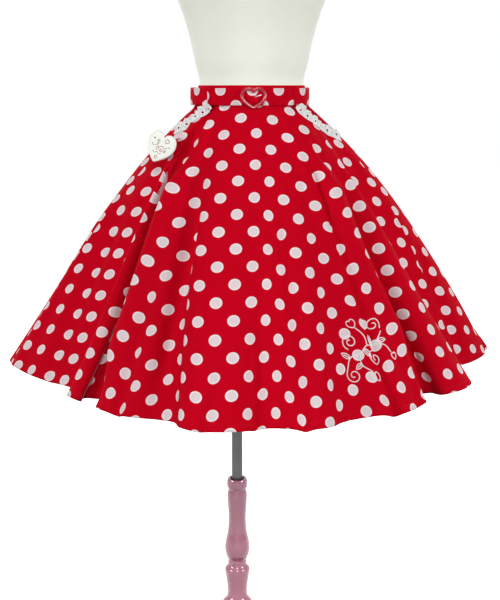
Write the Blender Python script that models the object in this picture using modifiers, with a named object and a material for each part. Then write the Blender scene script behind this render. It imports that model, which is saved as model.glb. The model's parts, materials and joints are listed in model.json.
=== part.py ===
"""A dotted cotton circle skirt with a belt, on a limbless dress form and its stand.

Metres, +Z up, the front towards -Y. The origin is the middle of the base's underside, on the
pole's axis. The skirt is made from its flat cut: a point of the cloth has a flat angle from the
centre front and a slant length down from the waist seam, and each ring of the skirt is as long
round as the cut is there.
"""

import math

import bmesh
import bpy
import numpy as np
from mathutils import Vector

COLLECTION = "circle_skirt"
CUTTERS = "cutters"

# Where things stand
BAND_TOP_Z = 1.185  # the waistband's top edge
FORM_X = 0.030  # the form's middle, to the right of the pole
GAP = 0.0003  # between pieces that touch

# The flat cut of the skirt: three quarters of a circle
FLAT_TURN = math.radians(270.0)
LENGTH = 0.648  # from the waist seam to the hem, along the cloth
CLOTH = 0.0020  # the skirt's wall
SIDE_SEAM = math.radians(60.0)  # flat angle from the centre front to each side seam
SEAM_HALF_WIDTH = 0.1115
SEAM_HALF_DEPTH = 0.0985
SEAM_DROP = 0.040  # the waist seam, below the band's top edge

# How steeply the skirt flares: share of its length, degrees from the vertical. The hips push it
# out at the sides; at the front and the back it falls more evenly.
FLARE_SIDE = (
    (0.00, 47.0),
    (0.08, 45.5),
    (0.16, 43.0),
    (0.30, 38.0),
    (0.50, 33.5),
    (0.75, 33.5),
    (1.00, 34.5),
)
FLARE_FRONT = (
    (0.00, 38.5),
    (0.15, 36.5),
    (0.35, 34.5),
    (0.60, 34.5),
    (0.75, 36.0),
    (0.88, 39.0),
    (1.00, 43.0),
)
VALLEY_DIP = 0.10  # how much lower the cloth hangs for each metre that it lies inside the flare

# The folds, round the skirt from the left. Azimuths are degrees from the front, to the right:
# azimuth at the waist, azimuth at the hem, how far the hem lies inside the full flare in metres,
# and the share of the length where that begins.
FOLDS = (
    (-90, -93, 0.000, 0.00),  # left lobe
    (-80, -80, 0.038, 0.00),
    (-71, -72, 0.072, 0.00),
    (-62, -63, 0.108, 0.00),
    (-55, -55.5, 0.078, 0.15),  # small lobe in the left valley
    (-50, -50.5, 0.080, 0.10),
    (-47, -47.5, 0.135, 0.05),  # deep left valley
    (-42, -42, 0.075, 0.00),  # front left lobe
    (-38.5, -36.5, 0.066, 0.10),
    (-36, -30, 0.063, 0.10),
    (-33, -23, 0.075, 0.05),
    (-30.5, -19.5, 0.073, 0.05),
    (-27, -14.5, 0.029, 0.00),  # broad front lobe
    (-19, -9, 0.017, 0.00),
    (-7, -3, 0.023, 0.00),
    (6, 4, 0.051, 0.10),
    (16, 11.5, 0.029, 0.00),
    (25, 17, 0.033, 0.00),
    (29, 21, 0.058, 0.10),  # front right lobe
    (31, 25, 0.068, 0.15),
    (33, 31, 0.067, 0.15),
    (35, 37, 0.050, 0.15),
    (37, 43, 0.058, 0.15),
    (39, 48.5, 0.080, 0.15),
    (42, 52, 0.135, 0.12),  # deep right valley
    (47, 57, 0.068, 0.10),  # right lobe
    (53, 64, 0.046, 0.05),
    (58, 72, 0.050, 0.05),
    (63, 79, 0.105, 0.05),
    (70, 87, 0.068, 0.00),  # right rear lobe
    (78, 96, 0.010, 0.00),
    (88, 103, -0.022, 0.00),
    (101, 117, 0.105, 0.00),  # the back: five lobes and the valleys between them
    (114, 131, 0.005, 0.00),
    (130, 146, 0.115, 0.00),
    (146, 160, 0.015, 0.00),
    (161, 173, 0.105, 0.00),
    (178, 186, 0.010, 0.00),
    (195, 199, 0.115, 0.00),
    (211, 212, 0.005, 0.00),
    (226, 225, 0.110, 0.00),
    (242, 240, 0.005, 0.00),
    (257, 254, 0.090, 0.00),
)

# Rows of the panels' cells, as shares of the length, and the columns of each panel
ROWS = (0.0, 0.035, 0.08, 0.14, 0.22, 0.31, 0.42, 0.54, 0.66, 0.78, 0.89, 1.0)
FRONT_COLUMNS = 72
BACK_COLUMNS = 35

# Hip pockets: where the slanted edge leaves the waist seam, and how far down the side seam it ends
POCKET_TOP = (math.radians(-30.5), math.radians(35.0))
POCKET_DEEP = (0.066, 0.086)
POCKET_BEND = (1.0, 0.85)  # under 1, the edge falls faster at first
POCKET_BACK_WALL = 0.0012
POCKET_BACK_IN = 0.0008  # its outer face, in from the panels' inner face
POCKET_LAP = 0.010  # the pocket back goes on this far under the front panel

# Eyelet lace on the pocket edges
LACE_WALL = 0.0010
LACE_OFF = 0.0008  # its back, off the panel
LACE_BELOW_TOP = 0.0070  # the lace's straight edge, below the pocket edge, at the waist
LACE_BELOW_LOW = 0.0150  # and from LACE_FULL down
LACE_FULL = 0.070
LACE_VALLEY = 0.0065  # the scallops' low points, above the pocket edge
LACE_PEAK = 0.0125
LACE_REPEATS = 6
LACE_STEPS = 6  # points along one scallop
EYELET_HALF_WIDTH = 0.0024
EYELET_HALF_HEIGHT = 0.0028
EYELET_UP = -0.0005  # the eyelet's middle, above the pocket edge
LACE_LEAN = 0.28  # how far the scallops stand out for each metre above the edge
LACE_SWING = 0.0096  # how far out its upper end swings, to clear the belt and a loop
LACE_SWING_FROM = 0.024  # the swing begins this far below the waist seam

# Waistband, belt and its loops
BAND_WALL = 0.0015
BAND_HEIGHT = 0.0395
BAND_TOP_HALF = (0.1044, 0.0905)  # half width and half depth outside, at the top
BAND_LOW_HALF = (0.1105, 0.0975)
BELT_WALL = 0.0015
BELT_HALF = (0.1163, 0.0995)
BELT_SHIFT = -0.0035  # the belt hangs a little to the left
BELT_TOP, BELT_LOW = 0.0055, 0.0375  # below the band's top edge
BELT_TIP = 0.0235  # the free end passes the belt's start by this much, under the buckle
LOOP_WALL = 0.0010
LOOP_WIDTH = 0.009
LOOP_AZIMUTHS = (-41.3, 48.5, 97.0, 150.0, 210.0, 263.0)

# A heart's right half from the notch to the point: share of the half width, share of the height
HEART = (
    (0.00, 0.355),
    (0.14, 0.445),
    (0.34, 0.498),
    (0.60, 0.488),
    (0.84, 0.395),
    (0.98, 0.235),
    (0.99, 0.060),
    (0.86, -0.115),
    (0.61, -0.270),
    (0.30, -0.405),
    (0.07, -0.490),
    (0.00, -0.500),
)

# Heart buckle
BUCKLE_HALF_WIDTH = 0.0240
BUCKLE_HEIGHT = 0.0400
BUCKLE_TOP = 0.0035  # below the band's top edge
BUCKLE_RIM = 0.0030  # half the rim's width
BUCKLE_THICK = 0.0030
BUCKLE_X = 0.0035

# Heart brooch at the end of the left pocket
BROOCH_HALF_WIDTH = 0.0315
BROOCH_HEIGHT = 0.0580
BROOCH_THICK = 0.0045
BROOCH_RIM = 0.0016
BROOCH_PLACE = (-0.1730, -0.1000, -0.1170)  # from the form's middle and the band's top edge
BROOCH_TURN = math.radians(-30.0)  # it faces a little to the left
BROOCH_LEAN = math.radians(-18.0)  # its top leans back towards the skirt
BROOCH_PEG_AT = (0.022, 0.002)  # to the right of and above its middle
BROOCH_PEG_LONG = 0.0080
BROOCH_PEG_R = 0.0012
BROOCH_TILT = math.radians(19.0)  # and its point swings to the left

# Dress form: height above the band's top edge, half width, half depth, how far back it is set
FORM = (
    (-0.3000, 0.1150, 0.0860, 0.002),
    (-0.2960, 0.1260, 0.0950, 0.002),
    (-0.2840, 0.1400, 0.1050, 0.003),
    (-0.2550, 0.1530, 0.1130, 0.004),
    (-0.2100, 0.1600, 0.1160, 0.004),
    (-0.1600, 0.1540, 0.1125, 0.003),
    (-0.1100, 0.1370, 0.1060, 0.002),
    (-0.0700, 0.1180, 0.0985, 0.001),
    (-0.0400, 0.1068, 0.0935, 0.000),
    (-0.0150, 0.1026, 0.0890, 0.000),
    (0.0080, 0.1023, 0.0885, 0.000),
    (0.0400, 0.1095, 0.0925, -0.001),
    (0.0840, 0.1186, 0.0975, -0.003),
    (0.1300, 0.1310, 0.1050, -0.007),
    (0.1690, 0.1445, 0.1130, -0.011),
    (0.2000, 0.1500, 0.1160, -0.012),
    (0.2350, 0.1510, 0.1090, -0.007),
    (0.2750, 0.1560, 0.0970, 0.000),
    (0.3150, 0.1640, 0.0870, 0.006),
    (0.3450, 0.1600, 0.0780, 0.010),
    (0.3680, 0.1320, 0.0690, 0.012),
    (0.3900, 0.0900, 0.0600, 0.012),
    (0.4100, 0.0640, 0.0560, 0.010),
    (0.4350, 0.0550, 0.0545, 0.006),
    (0.4600, 0.0540, 0.0540, 0.002),
    (0.4680, 0.0500, 0.0500, 0.002),
)
FORM_SIDES = 30

# Stand
POLE_R = 0.01125
POLE_BORE = 0.0003  # the pole's running gap in its sockets
POLE_INTO_FORM = 0.060
POLE_INTO_POST = 0.045
BASE_R = 0.150
BASE_THICK = 0.022
# Turned post: depth below the band's top edge, radius
POST = (
    (0.8085, 0.0196),
    (0.8130, 0.0212),
    (0.8190, 0.0217),
    (0.8260, 0.0212),
    (0.8315, 0.0190),
    (0.8360, 0.0200),
    (0.8450, 0.0210),
    (0.8700, 0.0197),
    (0.8960, 0.0183),
    (0.9230, 0.0200),
    (0.9430, 0.0243),
    (0.9600, 0.0264),
    (0.9740, 0.0246),
    (0.9850, 0.0205),
    (0.9880, 0.0197),
    (0.9915, 0.0203),
    (0.9950, 0.0197),
    (0.9990, 0.0207),
    (1.0090, 0.0265),
    (1.0290, 0.0240),
    (1.0580, 0.0208),
    (1.0680, 0.0218),
    (1.0820, 0.0310),
    (1.1000, 0.0385),
    (1.1180, 0.0405),
    (1.1360, 0.0360),
    (1.1450, 0.0300),
    (1.1500, 0.0330),
    (1.1600, 0.0420),
)
POST_SOCKET_R = 0.0148
POST_SOCKET_DEEP = 0.008
TURNED_STEPS = 24

# Colours: linear red, green, blue, then roughness and metallic
FINISHES = {
    "dotted_cotton": ((0.60, 0.0, 0.015), 0.85, 0.0),
    "eyelet_lace": ((0.80, 0.80, 0.78), 0.80, 0.0),
    "red_enamel": ((0.50, 0.0, 0.02), 0.25, 0.0),
    "white_plastic": ((0.76, 0.80, 0.72), 0.40, 0.0),
    "silver_metal": ((0.70, 0.70, 0.70), 0.30, 1.0),
    "form_cover": ((0.82, 0.86, 0.76), 0.70, 0.0),
    "grey_pole": ((0.14, 0.145, 0.135), 0.45, 0.6),
    "pink_wood": ((0.47, 0.20, 0.29), 0.30, 0.0),
}


# The surface of the skirt


def out_and_down(flare, slant):
    """How far a full flare has gone outwards and downwards at a slant length."""
    shares, degrees = zip(*flare)
    s = np.linspace(0.0, slant, 200)
    angle = np.radians(np.interp(s / LENGTH, shares, degrees))
    step = np.diff(s)
    outward, down = np.sin(angle), np.cos(angle)
    return np.array([
        ((outward[1:] + outward[:-1]) / 2 * step).sum(),
        ((down[1:] + down[:-1]) / 2 * step).sum(),
    ])


def flare_at(azimuth, slant):
    """Outwards and downwards at each azimuth, between the flare of the sides and of the front."""
    side, front = out_and_down(FLARE_SIDE, slant), out_and_down(FLARE_FRONT, slant)
    facing = (np.cos(azimuth) ** 2)[:, None]
    mixed = side * (1 - facing) + front * facing
    return mixed[:, 0], mixed[:, 1]


def closed_curve(knots, per_span=20):
    """A smooth closed curve through the knots: Hermite spans with slopes weighed by their chords."""
    after, before = np.roll(knots, -1, axis=0), np.roll(knots, 1, axis=0)
    chord = np.linalg.norm(after - knots, axis=1)[:, None]
    chord_before = np.roll(chord, 1, axis=0)
    slope = (
        (after - knots) / chord * chord_before + (knots - before) / chord_before * chord
    ) / (chord + chord_before)
    t = (np.arange(per_span) / per_span)[None, :, None]
    points = (
        (2 * t**3 - 3 * t**2 + 1) * knots[:, None]
        + (t**3 - 2 * t**2 + t) * (chord * slope)[:, None]
        + (3 * t**2 - 2 * t**3) * after[:, None]
        + (t**3 - t**2) * (chord * np.roll(slope, -1, axis=0))[:, None]
    )
    return points.reshape(-1, knots.shape[1])


def fold_ring(slant, strength):
    """The skirt's plan at a slant length, with its folds at a strength, as x, y and z."""
    share = slant / LENGTH
    waist, hem, inset, start = (np.array(column, float) for column in zip(*FOLDS))
    grown = np.clip((share - start) / (1 - start), 0, 1) / max(share, 1e-6)
    azimuth = np.radians(waist + (hem - waist) * share)
    outward, _ = flare_at(azimuth, slant)
    width = SEAM_HALF_WIDTH + outward - inset * grown * strength
    deep = width - (SEAM_HALF_WIDTH - SEAM_HALF_DEPTH) * (1 - share)
    plan = closed_curve(np.stack([width * np.sin(azimuth), -deep * np.cos(azimuth)], axis=1))
    outward, down = flare_at(np.arctan2(plan[:, 0], -plan[:, 1]), slant)
    inside = SEAM_HALF_WIDTH + outward - np.hypot(plan[:, 0], plan[:, 1])
    z = -SEAM_DROP - down - VALLEY_DIP * inside * share
    return np.column_stack([plan, z])


def lengths_along(ring):
    step = np.linalg.norm(np.roll(ring, -1, axis=0) - ring, axis=1)
    return np.concatenate([[0.0], np.cumsum(step)])


def evenly_spaced(ring, count):
    """Points at equal steps along a closed ring, from the back round by the left to the back."""
    closed = np.vstack([ring, ring[:1]])
    along = lengths_along(ring)
    i = next(
        i for i in range(len(ring)) if closed[i][0] <= 0 < closed[i + 1][0] and closed[i][1] < 0
    )
    part = -closed[i][0] / (closed[i + 1][0] - closed[i][0])
    front = along[i] + part * (along[i + 1] - along[i])
    at = (front + (np.arange(count + 1) / count - 0.5) * along[-1]) % along[-1]
    return np.stack([np.interp(at, along, closed[:, k]) for k in range(3)], axis=1)


TABLE_COLUMNS = 1080
TABLE_ROWS = 44


def cloth_table():
    """Rings of the skirt, each as long round as the flat cut is at that slant length."""
    seam = lengths_along(fold_ring(0.0, 0.0))[-1]
    rings = []
    for slant in np.linspace(0.0, LENGTH, TABLE_ROWS):
        cut = seam + FLAT_TURN * slant
        low, high = 0.0, 2.0
        for _ in range(22):
            middle = (low + high) / 2
            if lengths_along(fold_ring(slant, middle))[-1] < cut:
                low = middle
            else:
                high = middle
        rings.append(evenly_spaced(fold_ring(slant, (low + high) / 2), TABLE_COLUMNS))
    return np.array(rings), seam / FLAT_TURN


TABLE, SEAM_RADIUS = cloth_table()  # SEAM_RADIUS is the waist seam's radius in the flat cut


def on_table(turn, slant):
    column = (turn / FLAT_TURN + 0.5) * TABLE_COLUMNS
    column = min(max(column, 0.0), TABLE_COLUMNS)
    row = min(max(slant / LENGTH, 0.0), 1.0) * (TABLE_ROWS - 1)
    c, r = min(int(column), TABLE_COLUMNS - 1), min(int(row), TABLE_ROWS - 2)
    u, v = column - c, row - r
    top = TABLE[r, c] * (1 - u) + TABLE[r, c + 1] * u
    low = TABLE[r + 1, c] * (1 - u) + TABLE[r + 1, c + 1] * u
    return top * (1 - v) + low * v


def cloth_point(turn, slant, out=0.0):
    """The cloth's outer face at a flat angle and slant length, moved outwards, in the row frame."""
    reach = 0.004
    above = max(-slant, 0.0)  # above the waist seam the cloth's line goes straight up
    slant = max(slant, 0.0)
    here = on_table(turn, slant)
    turn_reach = reach / (SEAM_RADIUS + slant)
    side = on_table(turn + turn_reach, slant) - on_table(turn - turn_reach, slant)
    down = on_table(turn, slant + reach) - on_table(turn, slant - reach)
    normal = np.cross(down, side)
    normal /= np.linalg.norm(normal)
    return here + normal * out + np.array([FORM_X, 0.0, BAND_TOP_Z + above])


# Helpers that make objects


def clear_scene():
    for obj in list(bpy.data.objects):
        bpy.data.objects.remove(obj, do_unlink=True)


def collection(name):
    made = bpy.data.collections.new(name)
    bpy.context.scene.collection.children.link(made)
    return made


def finish_material(name):
    colour, roughness, metallic = FINISHES[name]
    made = bpy.data.materials.get(name) or bpy.data.materials.new(name)
    made.use_nodes = True
    shader = made.node_tree.nodes["Principled BSDF"]
    shader.inputs["Base Color"].default_value = (*colour, 1.0)
    shader.inputs["Roughness"].default_value = roughness
    shader.inputs["Metallic"].default_value = metallic
    made.diffuse_color = (*colour, 1.0)
    return made


def add_mesh(name, bm, material, smooth=True):
    mesh = bpy.data.meshes.new(name)
    bmesh.ops.recalc_face_normals(bm, faces=bm.faces) if bm.faces and is_closed(bm) else None
    bm.to_mesh(mesh)
    bm.free()
    if smooth:
        mesh.shade_smooth()
    obj = bpy.data.objects.new(name, mesh)
    mesh.materials.append(finish_material(material))
    PARTS.objects.link(obj)
    return obj


def is_closed(bm):
    return all(len(edge.link_faces) == 2 for edge in bm.edges)


def add_wall(obj, thickness):
    """Gives an open surface a wall on its inner side."""
    wall = obj.modifiers.new("wall", "SOLIDIFY")
    wall.thickness = thickness
    wall.offset = -1.0
    wall.use_rim = True
    return obj


def add_grid(bm, rows):
    made = [[bm.verts.new(point) for point in row] for row in rows]
    for upper, lower in zip(made, made[1:]):
        for i in range(len(upper) - 1):
            bm.faces.new((upper[i], lower[i], lower[i + 1], upper[i + 1]))
    return made


def surface_from_grid(name, rows, material, wall):
    """An open surface through rows of points, top row first, seen from outside, with a wall."""
    bm = bmesh.new()
    add_grid(bm, rows)
    return add_wall(add_mesh(name, bm, material), wall)


def cloth_loft(name, places, outer, inner):
    """A piece of cloth lofted between two depths of the skirt's surface, closed at its rim.

    Both faces follow the surface's own normals, so pieces that meet at a seam have side walls
    that stay parallel, and layers keep their gap.
    """
    bm = bmesh.new()
    front = add_grid(bm, [[cloth_point(*place, outer) for place in row] for row in places])
    back = add_grid(bm, [[cloth_point(*place, inner) for place in row] for row in places])
    rims = (
        (front[0], back[0]),
        (front[-1], back[-1]),
        ([row[0] for row in front], [row[0] for row in back]),
        ([row[-1] for row in front], [row[-1] for row in back]),
    )
    for face_line, back_line in rims:
        for i in range(len(face_line) - 1):
            bm.faces.new((face_line[i], back_line[i], back_line[i + 1], face_line[i + 1]))
    return add_mesh(name, bm, "dotted_cotton")


def rings_solid(name, rings, material):
    """A closed solid through closed rings, lowest first, each running anticlockwise from above."""
    bm = bmesh.new()
    made = [[bm.verts.new(point) for point in ring] for ring in rings]
    count = len(made[0])
    for lower, upper in zip(made, made[1:]):
        for i in range(count):
            j = (i + 1) % count
            bm.faces.new((lower[i], lower[j], upper[j], upper[i]))
    bm.faces.new(list(reversed(made[0])))
    bm.faces.new(made[-1])
    return add_mesh(name, bm, material)


# The skirt's panels and pockets


def pocket_line(turn):
    """How far below the waist seam the front panel's edge lies at a flat angle."""
    side = 0 if turn < 0 else 1
    past = (abs(turn) - abs(POCKET_TOP[side])) / (SIDE_SEAM - abs(POCKET_TOP[side]))
    return POCKET_DEEP[side] * max(past, 0.0) ** POCKET_BEND[side]


def make_panel(name, turn_a, turn_b, columns, top_line):
    """A panel from seam to seam; it keeps a little more than a gap from each seam line."""
    rows = []
    for share in ROWS:
        row = []
        for i in range(columns + 1):
            turn = turn_a + (turn_b - turn_a) * i / columns
            top = top_line(turn)
            slant = top + (LENGTH - top) * share
            shy = GAP * 1.25 / (SEAM_RADIUS + slant)
            inward = shy if i == 0 else -shy if i == columns else 0.0
            row.append((turn + inward, slant))
        rows.append(row)
    return cloth_loft(name, rows, 0.0, -CLOTH)


def make_pocket_back(name, side):
    """The red cloth behind the slanted opening, a layer further in than the panels."""
    sign = -1 if side == 0 else 1
    step = 2 * SIDE_SEAM / FRONT_COLUMNS
    first = int(abs(POCKET_TOP[side]) / step) - 1
    turns = [step * i for i in range(first, FRONT_COLUMNS // 2 + 1)]
    turns.append(SIDE_SEAM + (FLAT_TURN / 2 - SIDE_SEAM) / BACK_COLUMNS)
    steps = 5
    rows = []
    for k in range(steps + 1):
        row = []
        for turn in turns:
            deep = pocket_line(sign * min(turn, SIDE_SEAM)) + POCKET_LAP
            row.append((sign * turn, deep * k / steps))
        rows.append(row if sign > 0 else row[::-1])
    outer = -CLOTH - POCKET_BACK_IN
    return cloth_loft(name, rows, outer, outer - POCKET_BACK_WALL)


def flat_place(turn, slant):
    radius = SEAM_RADIUS + slant
    return Vector((radius * math.sin(turn), radius * math.cos(turn)))


def pocket_edge(side, share):
    """A place of the flat pocket edge and the way up from it, at a share of its length."""
    limit = SIDE_SEAM if side else -SIDE_SEAM

    def at(part):
        turn = POCKET_TOP[side] + (limit - POCKET_TOP[side]) * part
        return flat_place(turn, POCKET_DEEP[side] * max(part, 0.0) ** POCKET_BEND[side])

    here = at(share)
    along = (at(min(share + 0.04, 1.0)) - at(max(share - 0.04, 0.0))).normalized()
    up = Vector((along.y, -along.x)) if side == 0 else Vector((-along.y, along.x))
    return here, -up if up.y > 0 else up


def lace_below(a):
    """How far the lace goes below the pocket edge; it is narrower where it starts at the waist."""
    return LACE_BELOW_TOP + (LACE_BELOW_LOW - LACE_BELOW_TOP) * min(a / LACE_FULL, 1.0)


def lace_point(turn, slant, height):
    """The lace lies on the panel; its scallops lean out, and its upper end swings over the belt."""
    near = min(max(1.0 - slant / LACE_SWING_FROM, 0.0), 1.0)
    swing = LACE_SWING * near * near * (3 - 2 * near)
    lean = LACE_LEAN * max(height + 0.004, 0.0)
    point = cloth_point(turn, slant, LACE_OFF + lean)
    outward = np.array([point[0] - FORM_X, point[1], 0.0])
    return point + outward / np.linalg.norm(outward) * swing


def make_lace(name, side):
    """Scalloped eyelet lace along a pocket edge; each repeat is a ring of cells round its eyelet."""
    top, _ = pocket_edge(side, 0.0)
    low, _ = pocket_edge(side, 1.0)
    length = (low - top).length
    repeat = length / LACE_REPEATS

    bm = bmesh.new()
    known = {}

    def corner(a, b):
        key = (round(a * 1e6), round(b * 1e6))
        if key not in known:
            edge, up = pocket_edge(side, a / length)
            place = edge + up * b
            turn = math.atan2(place.x, place.y)
            slant = place.length - SEAM_RADIUS
            limit = SIDE_SEAM + math.radians(1.5)
            turn = max(min(turn, limit), -limit)
            known[key] = bm.verts.new(lace_point(turn, slant, b))
        return known[key]

    for r in range(LACE_REPEATS):
        left, right = r * repeat, (r + 1) * repeat
        middle = (left + right) / 2
        outer = [(left + repeat * k / 3, -lace_below(left + repeat * k / 3)) for k in range(4)]
        outer += [(right, -lace_below(right) / 2), (right, 0.0)]
        for k in range(LACE_STEPS + 1):
            rise = math.sin(math.pi * k / LACE_STEPS) ** 0.7 if 0 < k < LACE_STEPS else 0.0
            outer.append((right - repeat * k / LACE_STEPS, LACE_VALLEY + (LACE_PEAK - LACE_VALLEY) * rise))
        outer += [(left, 0.0), (left, -lace_below(left) / 2)]
        hole = []
        for a, b in outer:
            angle = math.atan2(b - EYELET_UP, a - middle)
            hole.append((
                middle + EYELET_HALF_WIDTH * math.cos(angle),
                EYELET_UP + EYELET_HALF_HEIGHT * math.sin(angle),
            ))
        between = [((a + c) / 2, (b + d) / 2) for (a, b), (c, d) in zip(outer, hole)]
        for far, near in ((outer, between), (between, hole)):
            for k in range(len(outer)):
                n = (k + 1) % len(outer)
                quad = [corner(*far[k]), corner(*far[n]), corner(*near[n]), corner(*near[k])]
                bm.faces.new(quad)
    bmesh.ops.recalc_face_normals(bm, faces=bm.faces)
    bm.faces.ensure_lookup_table()
    bm.faces[0].normal_update()
    outward = Vector(bm.faces[0].calc_center_median()) - Vector((FORM_X, 0.0, 0.0))
    if bm.faces[0].normal.dot(Vector((outward.x, outward.y, 0.0))) < 0:
        bmesh.ops.reverse_faces(bm, faces=bm.faces)
    obj = add_mesh(name, bm, "eyelet_lace")
    wall = obj.modifiers.new("wall", "SOLIDIFY")
    wall.thickness = LACE_WALL
    wall.offset = 1.0
    return obj


# Waistband, belt, loops and buckle


def oval(half, azimuth, out=0.0, shift=0.0):
    """A point of an oval round the form, at an azimuth in radians, moved outwards."""
    x, y = half[0] * math.sin(azimuth), -half[1] * math.cos(azimuth)
    normal = Vector((math.sin(azimuth) / half[0], -math.cos(azimuth) / half[1])).normalized()
    return Vector((FORM_X + shift + x + normal.x * out, y + normal.y * out))


def make_waistband():
    count = 56
    slit = 0.0004 / BAND_TOP_HALF[1]
    rows = []
    for k in range(3):
        share = k / 2
        half = [a + (b - a) * share for a, b in zip(BAND_TOP_HALF, BAND_LOW_HALF)]
        row = []
        for i in range(count + 1):
            azimuth = -math.pi + slit + (2 * math.pi - 2 * slit) * i / count
            point = oval(half, azimuth)
            row.append((point.x, point.y, BAND_TOP_Z - BAND_HEIGHT * share))
        rows.append(row)
    return surface_from_grid("waistband", rows, "dotted_cotton", BAND_WALL)


def make_belt():
    """One strap: it starts under the buckle, goes round by the left and laps over its start."""
    count = 72
    start = BUCKLE_X / BELT_HALF[0]
    lap = BELT_TIP / BELT_HALF[0]
    rows = []
    for z in (BELT_TOP, (BELT_TOP + BELT_LOW) / 2, BELT_LOW):
        row = []
        for i in range(count + 1):
            share = i / count
            azimuth = start + (2 * math.pi + lap) * share
            past = max(0.0, (azimuth - start - 2 * math.pi + 0.20) / 0.13)
            step = (BELT_WALL + GAP) * min(past, 1.0)
            point = oval(BELT_HALF, azimuth, step, BELT_SHIFT)
            row.append((point.x, point.y, BAND_TOP_Z - z))
        rows.append(row)
    return surface_from_grid("belt", rows, "dotted_cotton", BELT_WALL)


def make_loop(name, azimuth):
    """A belt loop: a narrow strip from the band, over the belt and back to the band below it."""
    turn = math.radians(azimuth)
    outside = oval(BELT_HALF, turn, GAP, BELT_SHIFT)
    outward = Vector((math.sin(turn) / BELT_HALF[0], -math.cos(turn) / BELT_HALF[1])).normalized()
    across = Vector((-outward.y, outward.x))

    def reach(half_top, half_low, drop):
        share = drop / BAND_HEIGHT
        half = [a + (b - a) * share for a, b in zip(half_top, half_low)]
        centre = Vector((FORM_X, 0.0))
        low, high = 0.0, 0.2
        for _ in range(40):
            middle = (low + high) / 2
            p = outside - outward * middle - centre
            if (p.x / half[0]) ** 2 + (p.y / half[1]) ** 2 > 1.0:
                low = middle
            else:
                high = middle
        return middle

    top_in = reach(BAND_TOP_HALF, BAND_LOW_HALF, BELT_TOP - 0.003) - 0.0008
    low_in = reach(BAND_TOP_HALF, BAND_LOW_HALF, BELT_LOW + 0.002) - 0.0008
    z_top, z_low = BELT_TOP - GAP, BELT_LOW + GAP
    # The strip's section: distance outwards from the belt's face, depth below the band's top edge
    section = (
        (-top_in, z_top),
        (0.0, z_top),
        (0.0, z_low),
        (-low_in, z_low),
        (-low_in, z_low + LOOP_WALL),
        (LOOP_WALL, z_low + LOOP_WALL),
        (LOOP_WALL, z_top - LOOP_WALL),
        (-top_in, z_top - LOOP_WALL),
    )
    bm = bmesh.new()
    ends = []
    for side in (-LOOP_WIDTH / 2, LOOP_WIDTH / 2):
        ring = []
        for out, drop in section:
            p = outside + outward * out + across * side
            ring.append(bm.verts.new((p.x, p.y, BAND_TOP_Z - drop)))
        ends.append(ring)
    for i in range(len(section)):
        j = (i + 1) % len(section)
        bm.faces.new((ends[0][i], ends[0][j], ends[1][j], ends[1][i]))
    for ring in ends:
        bm.faces.new(ring)
    return add_mesh(name, bm, "dotted_cotton", smooth=False)


def heart_outline(half_width, height, per_span):
    """A heart's outline round its middle, its point at the bottom, clockwise from its notch."""
    right = [(x * half_width, z * height) for x, z in HEART]
    left = [(-x, z) for x, z in right[-2:0:-1]]
    return [tuple(point) for point in closed_curve(np.array(right + left), per_span)]


def make_buckle():
    """An open heart frame: a rounded section swept round the outline, leaning out over the skirt."""
    outline = heart_outline(BUCKLE_HALF_WIDTH - BUCKLE_RIM, BUCKLE_HEIGHT - 2 * BUCKLE_RIM, 2)
    section = ((-1.0, 0.0), (-0.75, 1.0), (0.75, 1.0), (1.0, 0.0), (0.7, -1.0), (-0.7, -1.0))
    middle_drop = BUCKLE_TOP + BUCKLE_HEIGHT / 2
    bm = bmesh.new()
    rings = []
    count = len(outline)
    for i in range(count):
        here = Vector(outline[i])
        tangent = (Vector(outline[(i + 1) % count]) - Vector(outline[i - 1])).normalized()
        aside = Vector((tangent.y, -tangent.x))
        ring = []
        for across, high in section:
            flat = here + aside * across * BUCKLE_RIM
            drop = middle_drop - flat.y
            azimuth = (BUCKLE_X + flat.x - BELT_SHIFT) / BELT_HALF[0]
            lean = 0.0076 * (max(drop, 0.0) / (BUCKLE_TOP + BUCKLE_HEIGHT)) ** 2
            out = BELT_WALL + 2.2 * GAP + lean + (high + 1.0) / 2 * BUCKLE_THICK
            p = oval(BELT_HALF, azimuth, out, BELT_SHIFT)
            ring.append(bm.verts.new((p.x, p.y, BAND_TOP_Z - drop)))
        rings.append(ring)
    for i in range(count):
        after = rings[(i + 1) % count]
        for k in range(len(section)):
            n = (k + 1) % len(section)
            bm.faces.new((rings[i][k], rings[i][n], after[n], after[k]))
    return add_mesh("buckle", bm, "red_enamel")


def make_prong():
    """A short metal pin from the buckle's right side to the eyelet."""
    drop = 0.0205
    points = []
    for share, out in ((0.0, 0.0016), (0.35, 0.0026), (1.0, 0.0026)):
        x = BUCKLE_X + 0.0060 + 0.0085 * share
        p = oval(BELT_HALF, (x - BELT_SHIFT) / BELT_HALF[0], BELT_WALL + GAP + out, BELT_SHIFT)
        points.append((p.x, p.y, BAND_TOP_Z - drop + 0.003 * share))
    return add_rod("buckle_prong", points, 0.0009, "silver_metal")


def add_rod(name, points, radius, material):
    """A round rod along points, as a mesh with its end caps welded on."""
    curve = bpy.data.curves.new(name, "CURVE")
    curve.dimensions = "3D"
    curve.bevel_depth = radius
    curve.bevel_resolution = 1
    curve.use_fill_caps = True
    spline = curve.splines.new("POLY")
    spline.points.add(len(points) - 1)
    for target, point in zip(spline.points, points):
        target.co = (*point, 1.0)
    rod = bpy.data.objects.new(name + "_curve", curve)
    PARTS.objects.link(rod)
    evaluated = rod.evaluated_get(bpy.context.evaluated_depsgraph_get())
    mesh = bpy.data.meshes.new_from_object(evaluated)
    bm = bmesh.new()
    bm.from_mesh(mesh)
    bmesh.ops.remove_doubles(bm, verts=bm.verts, dist=1e-5)
    bpy.data.objects.remove(rod, do_unlink=True)
    bpy.data.meshes.remove(mesh)
    return add_mesh(name, bm, material)


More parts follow.
